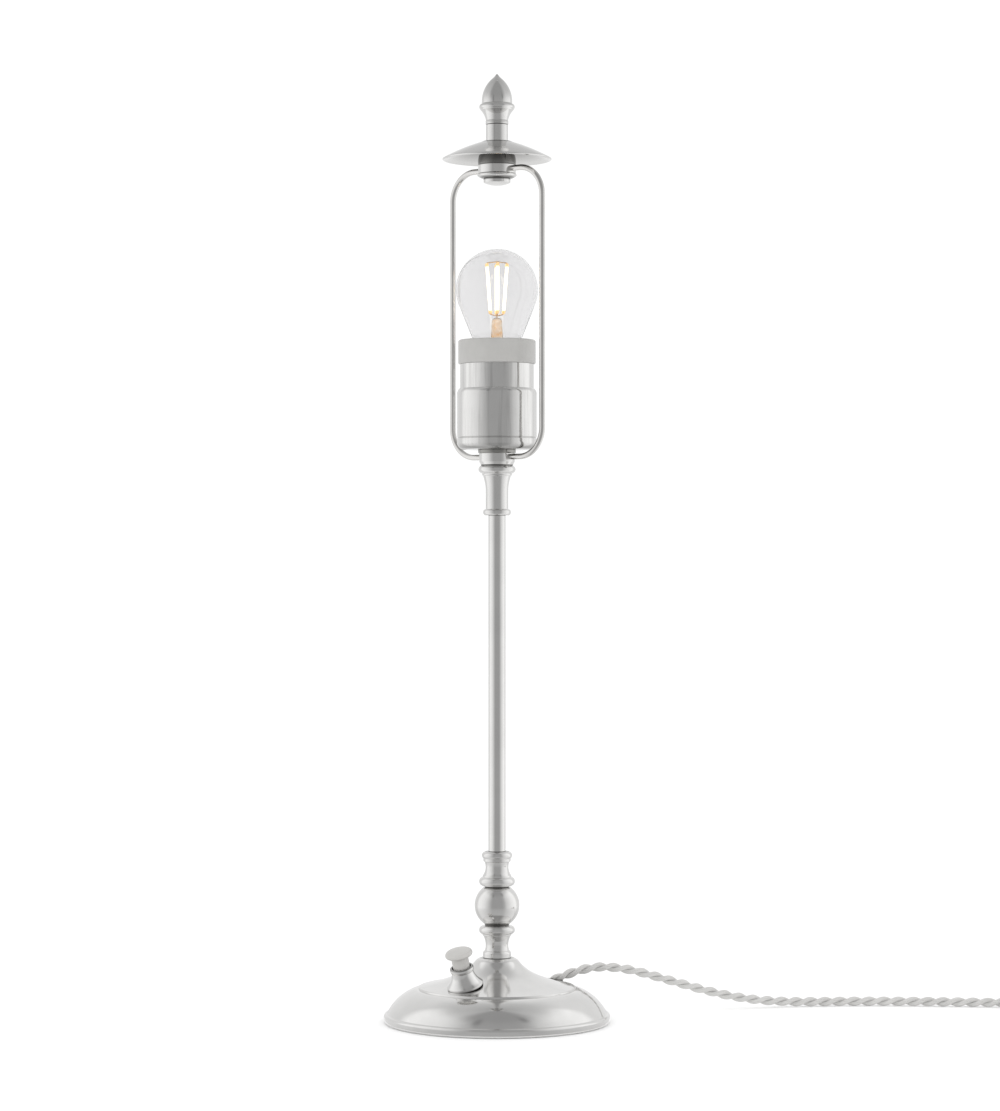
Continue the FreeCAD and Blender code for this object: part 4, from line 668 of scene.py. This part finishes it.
def outline(steps):
    """Half outline in mm over the foot, from a first point of radius and height. Each step ends in
    such a point: alone it draws a straight edge, with a point before it an arc over that point, with
    a rise behind it a bow that far to the right. A single height is a dome closed on the axis."""
    points = [Vector(steps[0])]
    for step in steps[1:]:
        here = points[-1]
        if len(step) == 4:
            points += arc(here, Vector(step[:2]), Vector(step[2:]))
        elif len(step) == 3:
            end = Vector(step[:2])
            right = Vector((end.y - here.y, here.x - end.x)).normalized()
            points += arc(here, (here + end) / 2 + right * step[2], end)
        elif len(step) == 2:
            points.append(Vector(step))
        else:
            top, height = step[0], step[0] - here.y
            radius = (here.x ** 2 + height ** 2) / (2 * height)
            half = polar(radius, asin(here.x / radius) / 2)
            points += arc(here, Vector((half.y, top - radius + half.x)), Vector((0, top)))
    return points


def softened(points, radius, guard=0.08):
    """The outline with every real corner rounded, and a guard point beside each round."""
    soft = []
    for index, point in enumerate(points):
        if point.x < ON_AXIS:
            soft.append(point)
            continue
        back = points[index - 1] - point
        ahead = points[(index + 1) % len(points)] - point
        turn = pi - back.angle(ahead)
        if turn < radians(CORNER):
            soft.append(point)
            continue
        trim = min(radius * tan(turn / 2), 0.4 * back.length, 0.4 * ahead.length)
        bend = trim / tan(turn / 2)
        behind, before = back.normalized(), ahead.normalized()
        start, end = point + behind * trim, point + before * trim
        middle = point + (behind + before).normalized() * (bend / cos(turn / 2))
        if back.length > 4 * (trim + guard):
            soft.append(point + behind * (trim + guard))
        steps = max(2, ceil(degrees(turn) / ROUND_DEGREES))
        sweep = (start - middle).angle_signed(end - middle)
        for step in range(steps + 1):
            soft.append(middle + Matrix.Rotation(-sweep * step / steps, 2) @ (start - middle))
        if ahead.length > 4 * (trim + guard):
            soft.append(point + before * (trim + guard))
    return soft


def turned(name, steps, material, segments=96, edge=0.2, foot=0.0, place=None):
    """Spins an outline, closed on itself or by the axis, into a solid of revolution."""
    points = softened(outline(steps), edge)
    place = place or Matrix.Translation((0, 0, foot * MM))
    verts, rings = [], []
    for point in points:
        if point.x < ON_AXIS:
            rings.append([len(verts)] * segments)
            verts.append(place @ Vector((0, 0, point.y * MM)))
            continue
        rings.append(list(range(len(verts), len(verts) + segments)))
        verts += [place @ (polar(point.x, FULL_TURN * k / segments, point.y) * MM) for k in range(segments)]
    pairs = list(zip(rings, rings[1:]))
    if points[0].x > ON_AXIS:
        pairs.append((rings[-1], rings[0]))
    faces = []
    for low, high in pairs:
        for k in range(segments):
            n = (k + 1) % segments
            corners = tuple(dict.fromkeys((low[k], low[n], high[n], high[k])))
            if len(corners) > 2:
                faces.append(corners)
    return new_piece(name, verts, faces, material)


def turn_piece(name, node, steps, material=NICKEL, body="stand", slot="nickel", **how):
    """Turns an outline and settles it as the piece that stands for a node."""
    settle(turned(name, steps, material, **how), body, slot, node)


TUBE_R, BORE, STUD_BORE = 4.75, 4.8, 2.55

# %% [markdown]
# ### The spun base
# A disc of metal was pressed over a former while it turned: foot band, dome, a crease at the crest
# and a sweep up to the neck. After that, two holes were drilled on leaning axes, for the switch and
# for the cord. The holes are cut the same way here, by Boolean modifiers, and a Data Transfer
# modifier takes the shading of the uncut shell so that the mirror stays smooth round them.

# %% Base shell
shell = [
    (BORE, 23.6), (19.0, 23.6), (20.5, 23.6), (41.8, 17.9, 0.3), (44.7, 16.6), (58.7, 4.7, -1.94),
    (58.7, 2.3), (59.6, 2.3), (59.6, 0.3), (61.3, 0.3), (61.9, 0.7, 62.1, 1.5), (62.1, 3.5),
    (61.6, 4.6, 60.6, 5.0), (60.3, 5.2), (45.5, 18.2, 1.94), (43.1, 18.5, 0.12), (43.1, 19.1),
    (42.93, 19.43, 42.4, 19.6), (22.0, 25.9, -0.63), (12.2, 33.4, -0.73), (8.6, NECK_TOP, 0.45),
    (BORE, NECK_TOP)]
base = turned("base_shell_spun", shell, NICKEL, 224, 0.12)
uncut = add_object("uncut_shell", base.data.copy())


def modify(piece, name, kind, **settings):
    """Adds a modifier with its settings."""
    modifier = piece.modifiers.new(name, kind)
    for key, value in settings.items():
        setattr(modifier, key, value)
    return modifier


def drill(name, steps, place):
    """A stepped cutter: pairs of radius and height from the bottom up."""
    edges = [(0, steps[0][1])]
    for (r, low), (_, high) in zip(steps, steps[1:]):
        edges += [(r, low), (r, high)]
    return turned(name, edges + [(0, steps[-1][1])], NICKEL, edge=0.0001, place=place)


NEAR_SHELL = 0.00002     # shading is only taken from the uncut shell itself, not across a hole
switch_drill = drill("switch_drill", [(8.0, -10.5), (4.55, -1.5), (10.1, 0.0), (0, 9.0)], SWITCH_PLACE)
cord_drill = drill("cord_drill", [(6.5, -10.5), (4.95, -2.2), (5.8, 0.35), (0, 9.0)], EXIT_PLACE)
for cutter in (switch_drill, cord_drill):
    modify(base, cutter.name, "BOOLEAN", operation="DIFFERENCE", solver="EXACT", object=cutter)
modify(base, "shading of the uncut shell", "DATA_TRANSFER", object=uncut, use_loop_data=True,
       data_types_loops={"CUSTOM_NORMAL"}, loop_mapping="POLYINTERP_NEAREST", use_max_distance=True,
       max_distance=NEAR_SHELL)


def bake_modifiers(piece):
    """Turns what the modifiers make into the piece's own mesh."""
    bpy.context.view_layer.update()
    graph = bpy.context.evaluated_depsgraph_get()
    mesh = bpy.data.meshes.new_from_object(
        piece.evaluated_get(graph), preserve_all_data_layers=True, depsgraph=graph)
    piece.modifiers.clear()
    piece.data = mesh
    return piece


bake_modifiers(base)
for helper in (switch_drill, cord_drill, uncut):
    bpy.data.objects.remove(helper)
settle(base, "stand", "nickel", "base_shell")

# %% [markdown]
# ### The stem
# Below the lampholder everything threads onto one tube: two collars that hold a ball between them,
# then the long plain tube, then the top collar. Each is its own turned piece, so a fine dark line
# shows where two meet, as on the real stack; painted shade in the nickel deepens it.

# %% Stem tube, collars and ball
TUBE_BORE, TUBE_FOOT, TUBE_TOP = 3.75, 13.6, 321.0
turn_piece("stem_tube_drawn", "stem_tube", [
    (TUBE_BORE, TUBE_FOOT), (TUBE_R, TUBE_FOOT), (TUBE_R, TUBE_TOP), (TUBE_BORE, TUBE_TOP)], edge=0.15)

top = BALL_FOOT - NECK_TOP
turn_piece("lower_collar_turned", "lower_collar", [
    (BORE, 0), (7.8, 0), (7.8, 2.0), (6.7, 4.0, 0.35), (6.3, 8.0, 7.7, top - 6.6), (8.0, top - 6.4),
    (8.0, top - 5.9), (9.9, top - 3.5, 8.2, top - 1.3), (6.7, top - 1.3), (6.7, top), (BORE, top)],
    foot=NECK_TOP)

ball_r, half = 12.35, (BALL_TOP - BALL_FOOT) / 2
end_r = sqrt(ball_r ** 2 - half ** 2)
turn_piece("ball_turned", "baluster_ball", [
    (BORE, 0), (end_r, 0), (ball_r, half, end_r, 2 * half), (BORE, 2 * half)],
    segments=128, foot=BALL_FOOT)

top = COLLAR_TOP - BALL_TOP
turn_piece("upper_collar_turned", "upper_collar", [
    (BORE, 0), (6.7, 0), (6.7, 0.8), (8.1, 0.8), (9.9, 3.0, 8.1, 5.7), (8.0, 5.7), (7.8, 6.6),
    (6.3, 10.9, 6.9, top - 5.8), (7.5, top - 5.5), (7.6, top - 3.9), (8.4, top - 2.2, 7.4, top - 0.5),
    (6.3, top), (BORE, top)], foot=BALL_TOP)

top = HARP_FOOT - CROWN_FOOT
turn_piece("top_collar_turned", "top_collar", [
    (BORE, 0), (6.8, 0), (7.7, 1.65, 6.8, 3.3), (6.2, 3.3), (6.2, top - 13.5), (7.7, top - 5.8, -0.3),
    (8.2, top - 5.6), (8.2, top - 4.8), (8.6, top - 4.4), (10.2, top - 1.9, 8.8, top - 0.2), (8.8, top),
    (BORE, top)], foot=CROWN_FOOT)

# %% [markdown]
# ### The harp
# Two wires bent to a C stand in a lower and an upper hub. A wire is a round section swept along
# straight runs and quarter circles, so the sweep helper of the cord serves again. The hubs are
# turned; a washer and a cap nut lock them.

# %% Harp wires and hubs
WIRE_R = 1.6
WIRE_LOW, WIRE_HIGH = 310.4, 468.3
SPAN, BEND, SEAT = 32.5, 16.0, 6.6     # reach of the upright, radius of the bends, start in the hub
BEND_STEPS = 24


def harp_line(side):
    """Points of one wire: out, round, up, round and back in."""
    points = [(SEAT, WIRE_LOW)]
    for middle_z, start in ((WIRE_LOW + BEND, -90), (WIRE_HIGH - BEND, 0)):
        for step in range(BEND_STEPS + 1):
            round_bend = polar(BEND, radians(start + 90 * step / BEND_STEPS))
            points.append((SPAN - BEND + round_bend.x, middle_z + round_bend.y))
    points.append((SEAT, WIRE_HIGH))
    return [Vector((side * x, 0, z)) * MM for x, z in points]


for name, side in (("right", 1), ("left", -1)):
    wire = bar_piece("harp_wire_" + name + "_bent", [harp_line(side)], WIRE_R * MM, NICKEL_WIRE, sides=28)
    settle(wire, "stand", "nickel", "harp_wire_" + name)

turn_piece("harp_lower_hub_turned", "harp_lower_hub", [
    (BORE, 0), (8.9, 0), (9.0, 0.5), (9.8, 1.9), (9.8, 6.6), (BORE, 6.6)], foot=HARP_FOOT)

turn_piece("hub_washer_turned", "hub_washer", [
    (BORE, 0), (10.1, 0), (10.4, 0.3), (10.4, 2.0), (BORE, 2.0)], NICKEL_WASHER_SHADED, foot=WASHER_FOOT)

turn_piece("harp_upper_hub_turned", "harp_upper_hub", [
    (STUD_BORE, 0), (8.2, 0), (10.6, 1.2), (10.8, 1.9, 10.4, 2.7), (10.4, 7.4), (STUD_BORE, 7.4)],
    foot=HUB_FOOT)

turn_piece("hub_cap_nut_turned", "hub_cap_nut", [
    (0, 0), (3.7, 0.35, 7.4, 1.6), (7.4, 3.9), (STUD_BORE, 3.9), (STUD_BORE, 1.6), (0, 1.6)],
    foot=CAP_NUT_FOOT)

# %% [markdown]
# ### Shade carrier and finial
# A boss carries a dished disc for the shade's ring, a spacer stands on it, and the finial screws
# down on top. The finial is an acorn on a flared stem.

# %% Boss, disc, spacer and finial
turn_piece("carrier_boss_turned", "carrier_boss", [
    (STUD_BORE, 0), (10.4, 0), (9.9, 5.5, 0.3), (8.0, 5.5), (8.0, 11.7), (STUD_BORE, 11.7)],
    NICKEL_BOSS_SHADED, foot=BOSS_FOOT)

DISC_T, DISH_DEPTH = 1.2, 9.4
rim = DISC_T - DISH_DEPTH
disc = [
    (STUD_BORE, 0), (8.2, 0), (29.0, rim - 0.8, -0.6), (29.4, rim - 0.9), (30.0, rim - 0.5), (30.0, rim),
    (29.5, rim + 0.3), (8.6, 0.9, 0.6), (8.2, DISC_T), (STUD_BORE, DISC_T)]
disc = turned("carrier_disc_spun", disc, NICKEL_DISC, 160, foot=DISC_FOOT)
disc.data.materials.append(NICKEL_DISC_UNDER_SHADED)     # painted shade: the underside, next to the boss, takes a darker copy of the nickel
for face in disc.data.polygons:
    face.material_index = int(face.normal.z < -0.1)
settle(disc, "stand", "nickel", "carrier_disc")

turn_piece("carrier_spacer_turned", "carrier_spacer", [
    (STUD_BORE, 0), (6.1, 0), (6.1, 9.2), (STUD_BORE, 9.2)], foot=SPACER_FOOT)

turn_piece("finial_turned", "finial", [
    (STUD_BORE, 0), (5.9, 0), (6.3, 0.4), (6.3, 1.0), (6.0, 1.2), (6.4, 1.5), (6.1, 2.4),
    (9.1, 8.1, -0.5), (9.3, 8.6), (9.8, 9.6, 9.0, 11.2), (8.4, 11.6), (8.4, 13.2), (2.4, 25.6, 1.5),
    (0.5, 27.8, -0.15), (0, 27.8), (0, 6.7), (STUD_BORE, 6.7)], body="finial_knob", foot=FINIAL_FOOT)

# %% [markdown]
# ### The lampholder
# A cup and a mantle of thin bright metal close round the porcelain, and a heavy pale ring makes the
# mouth. A rolled line runs round the cup near its foot.

# %% Cup, mantle and mouth ring
shoulder = 33.5
turn_piece("holder_cup_drawn", "holder_cup", [
    (BORE, 0), (18.0, 0), (20.9, 1.2, 21.9, 4.5), (21.9, 5.9), (21.55, 6.2), (21.55, 6.6), (21.9, 6.9),
    (21.9, shoulder - 3.4), (21.6, shoulder - 1.4, 20.55, shoulder), (20.35, shoulder),
    (20.35, shoulder - 2.0), (21.0, shoulder - 2.0), (21.0, 4.7), (20.2, 2.2, 17.8, 1.0), (BORE, 1.0)],
    NICKEL_SHELL, segments=144, foot=HOLDER_FOOT)

flange, top = shoulder - 2.0, MOUTH_FOOT - HOLDER_FOOT
turn_piece("holder_mantle_drawn", "holder_mantle", [
    (19.5, flange - 1.8), (20.8, flange - 1.8), (20.8, flange), (20.3, flange), (20.3, top), (19.5, top)],
    NICKEL_SHELL, segments=144, foot=HOLDER_FOOT)

top = 13.2
turn_piece("porcelain_ring_fired", "porcelain_ring", [
    (17.2, 0), (20.9, 0), (21.3, 0.5), (21.3, top - 1.2), (20.9, top - 0.3, 19.9, top), (14.8, top),
    (14.0, top - 0.8), (14.0, top - 2.4), (17.2, top - 2.4)],
    PORCELAIN, slot="porcelain", segments=144, edge=0.35, foot=MOUTH_FOOT)

# %% [markdown]
# ### The bulb
# A clear ball bulb: blown glass with real walls, a rolled screw cap, a glass stem inside that holds
# a wire frame, and four glowing strips. Everything here turns as one when the bulb is screwed in.

# %% Glass envelope and glass stem
GLASS_FOOT = 16.0        # over the tip of the bulb's contact, like every height of the bulb
GLASS_T = 0.7


def glass_wall(shrink):
    """Outline of the envelope from its open foot up to the crown, drawn inside the outer glass."""
    centre, neck_z = 55.6, 28.1
    ball, neck, inside_cap = 22.5 - shrink, 13.35 - shrink, 12.65 - shrink
    reach = hypot(neck, centre - neck_z)
    tangent = atan2(neck_z - centre, neck) + acos(ball / reach)
    middle = (tangent + pi / 2) / 2
    return outline([
        (inside_cap, GLASS_FOOT), (inside_cap, 23.9), (neck - 0.35, 26.5), (neck, neck_z),
        (ball * cos(tangent), centre + ball * sin(tangent)),
        (ball * cos(middle), centre + ball * sin(middle), 0, centre + ball)])


turn_piece("bulb_glass_blown", "bulb_glass", glass_wall(GLASS_T)[::-1] + glass_wall(0.0),
           BULB_GLASS, "bulb", "clear_glass", segments=128, edge=1.2, foot=BULB_TIP)

turn_piece("glass_mount_drawn", "glass_mount", [
    (0, GLASS_FOOT), (11.9, GLASS_FOOT), (11.9, 16.8), (3.6, 25.0, -2.2), (2.8, 38.4), (0.6, 40.4, 0.5),
    (0, 40.4)], STEM_GLASS, "bulb", "clear_glass", segments=64, edge=0.3, foot=BULB_TIP)

# %% [markdown]
# ### Copies round a circle
# The filaments and their clips repeat round the bulb's axis. Duplicating by hand would hide the
# rule, so a Geometry Nodes tree places the copies: a ring of points, one copy on each, leaning
# outward, made real at the end.

# %% The ring-of-copies tree
def ring_of_copies():
    """A tree that sets copies of a piece on a circle and gives them a finish."""
    tree = bpy.data.node_groups.new("ring_of_copies", "GeometryNodeTree")
    sockets = tree.interface.new_socket
    sockets(name="Geometry", in_out="OUTPUT", socket_type="NodeSocketGeometry")
    for name, kind in (("Geometry", "Geometry"), ("Copies", "Int"), ("Circle Radius", "Float"),
                       ("Height", "Float"), ("First Bearing", "Float"), ("Outward Lean", "Float"),
                       ("Finish", "Material")):
        sockets(name=name, in_out="INPUT", socket_type="NodeSocket" + kind)
    maker = NodeMaker(tree)
    given = {socket.name: Wire(maker, socket) for socket in tree.nodes.new("NodeGroupInput").outputs}
    circle = maker.add("GeometryNodeMeshCircle", {
        "Vertices": given["Copies"], "Radius": given["Circle Radius"]})
    circle = maker.add("GeometryNodeTransform", {
        "Geometry": circle, "Translation": maker.join(0.0, 0.0, given["Height"]),
        "Rotation": maker.join(0.0, 0.0, given["First Bearing"])})
    x, y, _ = maker.split(maker.add("GeometryNodeInputPosition"))
    copies = maker.add("GeometryNodeInstanceOnPoints", {
        "Points": circle, "Instance": given["Geometry"],
        "Rotation": maker.join(0.0, given["Outward Lean"], y.maths("ARCTAN2", x))})
    real = maker.add("GeometryNodeRealizeInstances", {0: copies})
    dressed = maker.add("GeometryNodeSetMaterial", {"Geometry": real, "Material": given["Finish"]})
    maker.add("NodeGroupOutput", {0: dressed}, None)
    return tree


def grow(piece, tree, **sizes):
    """Puts a tree on a piece, sets its named inputs and keeps the result as a plain mesh."""
    modifier = modify(piece, tree.name, "NODES", node_group=tree)
    for item in tree.interface.items_tree:
        key = item.name.lower().replace(" ", "_")
        if item.in_out == "INPUT" and key in sizes:
            modifier[item.identifier] = sizes[key]
    return bake_modifiers(piece)


RING_OF_COPIES = ring_of_copies()
print("the tree has", len(RING_OF_COPIES.nodes), "nodes")

# %% Filaments and their clips
FILAMENT_FOOT_R, FILAMENT_HEAD_R = 3.6, 5.6
lean_out = atan((FILAMENT_HEAD_R - FILAMENT_FOOT_R) / FILAMENT_H)
rod_length = hypot(FILAMENT_H, FILAMENT_HEAD_R - FILAMENT_FOOT_R)
ROD_R, ROD_FOOT = 0.8, 0.9
rod = [(0, ROD_FOOT), (ROD_R, ROD_FOOT), (ROD_R, rod_length - ROD_FOOT), (0, rod_length - ROD_FOOT)]
RING_OF_FOUR = dict(copies=4, circle_radius=FILAMENT_FOOT_R * MM, height=FILAMENT_FOOT * MM,
                    first_bearing=radians(45), outward_lean=lean_out)
rods = grow(turned("filament_rods", rod, FILAMENT_GLOW, 16, 0.3), RING_OF_COPIES,
            finish=FILAMENT_GLOW, **RING_OF_FOUR)
settle(rods, "bulb", "filament", "led_filaments")


def clip(foot, up):
    """Metal end of a filament: a collar and a drawn point."""
    return [(0, foot), (0.45, foot), (0.95, foot + 0.6 * up), (1.0, foot + 1.9 * up), (0, foot + 1.9 * up)]


# painted glow: the metal clips shine amber with their own light, for the bright ends of the filaments
CLIP_PAINTED_GLOW = glow("filament_clip", 0.75, (1.0, 0.52, 0.15), (1.0, 0.52, 0.15), 0.0, 1.0)
for name, foot, up in (("low", -0.2, 1), ("high", rod_length + 0.2, -1)):
    ends = grow(turned("filament_clips_" + name, clip(foot, up), CLIP_PAINTED_GLOW, 14, 0.1), RING_OF_COPIES,
                finish=CLIP_PAINTED_GLOW, **RING_OF_FOUR)
    settle(ends, "bulb", "bulb_cap")

# %% [markdown]
# ### The push switch
# A bell-shaped housing stands on the slope of the base, square to its own leaning axis, and the
# button rises from its mouth. Both are turned about that axis; only the button moves.

# %% Bell and button
turn_piece("switch_bell_turned", "switch_bell", [
    (4.55, 0), (9.7, 0), (9.9, 0.3), (9.9, 1.3), (5.9, 8.6, -0.85), (6.3, 9.0), (6.5, 9.9, 6.4, 11.0),
    (6.1, 11.3), (5.25, 11.3), (5.25, 5.2), (4.55, 5.2)], NICKEL_BELL, place=SWITCH_PLACE)

turn_piece("switch_button_fired", "switch_button", [
    (0, 8.8), (4.65, 8.8), (4.65, 16.7), (6.3, 17.7, -0.2), (7.25, 18.2, 7.5, 19.1),
    (7.1, 20.0, 5.8, 20.6), (21.0,)],
    PORCELAIN_BUTTON, "button", "porcelain", edge=0.3, place=SWITCH_PLACE)

turn_piece("cord_eyelet_turned", "cord_bushing", [
    (4.2, -4.1), (4.9, -4.1), (4.9, 0.35), (5.6, 0.35), (5.5, 0.85, 4.9, 1.05), (4.5, 1.05), (4.2, 0.2)],
    NICKEL_EYELET, segments=64, edge=0.15, place=EXIT_PLACE)

# %% [markdown]
# ### The return spring
# The spring inside the switch has to shorten while the button goes down. It is a bar wound along a
# helix at its rest length, with a mesh of its own.

# %% Wind the spring
SPRING_FOOT, SPRING_TOP, SPRING_R, SPRING_WIRE_R = -12.55, -5.95, 2.9, 0.35
SPRING_TURNS, STEPS_A_TURN, BUTTON_TRAVEL = 5, 40, 3.0
spring_steps = SPRING_TURNS * STEPS_A_TURN
spring_line = []
for step in range(spring_steps + 1):
    height = SPRING_FOOT + (SPRING_TOP - SPRING_FOOT) * step / spring_steps
    spring_line.append(SWITCH_PLACE @ (polar(SPRING_R, FULL_TURN * step / STEPS_A_TURN, height) * MM))
spring = bar_piece("switch_spring_wound", [spring_line], SPRING_WIRE_R * MM, STEEL, sides=12, sharp=80.0)
settle(spring, "stand", "steel", "switch_spring")
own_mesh(spring)

# %% [markdown]
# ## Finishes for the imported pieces
# The pieces that stay as they were packed are mostly out of sight: weight, nuts, insert, wires.
# Their shapes are right, so they only take a finish in their material slots.

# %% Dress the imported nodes
PACKED_FINISH = [
    (STEEL, "bottom_plate base_washer plate_screws switch_plunger"),
    (BRASS, "base_nut top_stud holder_nut thread_sleeve centre_contact terminal_screws bulb_tip"),
    (BRASS, "switch_neck switch_nut switch_terminals bushing_nut"),
    (IRON, "base_weight"), (FELT, "felt_pad"), (PORCELAIN, "holder_insert"), (ALUMINIUM, "bulb_cap"),
    (BLACK_GLASS, "bulb_insulator"), (SUPPORT_WIRE, "filament_supports"), (BLACK_PLASTIC, "switch_body"),
    (TIE_BAND, "coil_tie"), (PLUG_PLASTIC, "plug_body"), (PIN_METAL, "plug_pins"),
    (LEAD_SKIN, "stem_leads base_leads"), (BLOCK_PLASTIC, "connector_block")]
dressed = 0
for material, names in PACKED_FINISH:
    for name in names.split():
        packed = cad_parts[name]
        if not packed.material_slots:
            packed.data.materials.append(material)
        for slot in packed.material_slots:
            slot.material = material
        dressed += 1
print("dressed", dressed, "packed nodes")

# %% [markdown]
# ## The room
# Polished metal has no look of its own: its shape is drawn by what it mirrors. The air and the floor
# are plain white for the eye. Round the lamp stands a grey tent that shows only in reflections: dim
# towards the camera and overhead, two long soft boxes at the sides, lighter walls behind. Its tone is
# worked out point by point from a few named sizes, so every edge of light is feathered.

# %% World and floor
world = bpy.data.worlds.new("white_room")
world.use_nodes = True
scene.world = world
world.node_tree.nodes.clear()
room = NodeMaker(world.node_tree)
WHITE = 1.06
air = room.add("ShaderNodeBackground", {0: rgb(1, 1, 1), 1: WHITE})
room.add("ShaderNodeOutputWorld", {0: air}, None)
scene.view_settings.view_transform = "Standard"

FLOOR_HALF = 6.0
floor_mesh = bpy.data.meshes.new("floor")
corners = [(x * FLOOR_HALF, y * FLOOR_HALF, 0) for x, y in ((-1, -1), (1, -1), (1, 1), (-1, 1))]
floor_mesh.from_pydata(corners, [], [(0, 1, 2, 3)])
floor = add_object("floor", floor_mesh)
paper = Finish("pale_floor", {"Roughness": 0.9, "Specular IOR Level": 0.1, "Emission Strength": 0.1,
                              "Emission Color": rgb(1, 1, 1)})
paper.plug(paper.shader, {
    "Base Color": paper.blend(paper.noise(3.0), rgb(0.95, 0.95, 0.95), rgb(0.93, 0.93, 0.93))})
floor_mesh.materials.append(paper.material)
print("the floor is", 2 * FLOOR_HALF, "m wide, the air", WHITE, "bright")

# %% Tones of the tent
WALL_TONES = [           # bearing from the camera's, in degrees, and brightness, read round the walls
    (-180, 0.92), (-150, 0.84), (-124, 0.8), (-112, 1.08), (-100, 1.1), (-80, 1.02), (-64, 0.9),
    (-50, 0.74), (-38, 0.56), (-24, 0.4), (26, 0.4), (38, 0.48), (50, 0.7), (64, 0.85), (80, 1.0),
    (100, 1.12), (114, 1.15), (124, 0.88), (150, 0.84), (180, 0.92)]
ZENITH_TONE = 0.42
NEAR_FLOOR_TONE = 0.6
FOLDS = [                # dark folds: bearing and its reach, height angle and its reach
    (-28, 9, 54, 13), (42, 9, 58, 11)]
FOLD_DEPTH = 0.32
GAP_EDGE = (38, 76)      # bearings between which the dim gap for the camera fades into the walls
CEILING_EDGE = (44, 66)  # height angles between which the walls fade into the ceiling
LAMP_SHADE = (0.04, 0.45)     # distances between which the shade of the lamp fades
SHEET_LIFT = 0.0004      # the reflected floor lies this far over the real one


def read_tone(table, at):
    """Straight interpolation in a table of places and tones."""
    for (low, first), (high, second) in zip(table, table[1:]):
        if at <= high:
            return first + (second - first) * (at - low) / (high - low)
    return table[-1][1]


def eased(value, low, high):
    """0 below the low end, 1 above the high end, a soft S between."""
    part = max(0.0, min(1.0, (value - low) / (high - low)))
    return part * part * (3 - 2 * part)


def wall_or_ceiling(bearing, up):
    """Walls with a dim gap for the camera, closing into a grey ceiling with two folds in it."""
    wall = read_tone(WALL_TONES, bearing)
    gap = 1 - eased(abs(bearing), *GAP_EDGE)
    ceiling = ZENITH_TONE - 0.07 * gap + 0.5 * cos(radians(up)) * (1 - gap)
    tone = wall + (ceiling - wall) * eased(up, *CEILING_EDGE)
    for at, reach, height, height_reach in FOLDS:
        off = hypot((bearing - at) / reach, (up - height) / height_reach)
        tone *= 1 - FOLD_DEPTH * (1 - eased(off, 0.2, 1.0))
    return tone


def floor_tone(bearing, distance):
    """The floor takes the walls' tones far off and evens out near the lamp, which shades it."""
    wall = read_tone(WALL_TONES, bearing)
    return wall + (NEAR_FLOOR_TONE - wall) * 0.5 * (1 - eased(distance, *LAMP_SHADE))


# %% The tent
TENT_R, TENT_STEPS = 0.75, 180
WALL_ROWS = [0, 2, 4, 6, 9, 12, 16, 20, 25, 30, 35, 40, 45, 50, 55, 60, 66, 72, 78, 84, 89.5]     # degrees up
FLOOR_ROWS = [0.066, 0.08, 0.1, 0.13, 0.16, 0.2, 0.25, 0.3, 0.35, 0.4, 0.45, 0.6, TENT_R]     # metres out


def tent_sheet(name, rows, reach_and_height, tone):
    """A sheet of the tent: rows of points round the lamp, each with its own tone."""
    verts, tones, faces = [], [], []
    for row in rows:
        reach, height = reach_and_height(row)
        for k in range(TENT_STEPS):
            bearing = -180 + 360 * k / TENT_STEPS
            verts.append(polar(reach, CAMERA_BEARING + radians(bearing - 90), height))
            tones.append(tone(bearing, row))
    for start in range(0, (len(rows) - 1) * TENT_STEPS, TENT_STEPS):
        for k in range(TENT_STEPS):
            a, b = start + k, start + (k + 1) % TENT_STEPS
            faces.append((a, b, b + TENT_STEPS, a + TENT_STEPS))
    mesh = bpy.data.meshes.new(name)
    mesh.from_pydata(verts, [], faces)
    layer = mesh.attributes.new("tone", "FLOAT", "POINT")
    layer.data.foreach_set("value", tones)
    cloth = bpy.data.materials.new(name)
    cloth.use_nodes = True
    cloth.node_tree.nodes.clear()
    maker = NodeMaker(cloth.node_tree)
    read = maker.add("ShaderNodeAttribute", None, "Fac", attribute_name="tone")
    glowing = maker.add("ShaderNodeEmission", {0: rgb(1, 1, 1), 1: read})
    maker.add("ShaderNodeOutputMaterial", {0: glowing}, None)
    mesh.materials.append(cloth)
    sheet = add_object(name, mesh)
    for ray in ("camera", "diffuse", "transmission", "volume_scatter", "shadow"):
        setattr(sheet, "visible_" + ray, False)
    print(name, "points", len(verts), "tones", round(min(tones), 2), "to", round(max(tones), 2))


def on_wall(up):
    """Reach and height of a row on the dome of the tent."""
    return TENT_R * cos(radians(up)), TENT_R * sin(radians(up))


def on_floor(distance):
    """Reach and height of a row just over the floor."""
    return distance, SHEET_LIFT


tent_sheet("tent_walls", WALL_ROWS, on_wall, wall_or_ceiling)
tent_sheet("tent_floor", FLOOR_ROWS, on_floor, floor_tone)
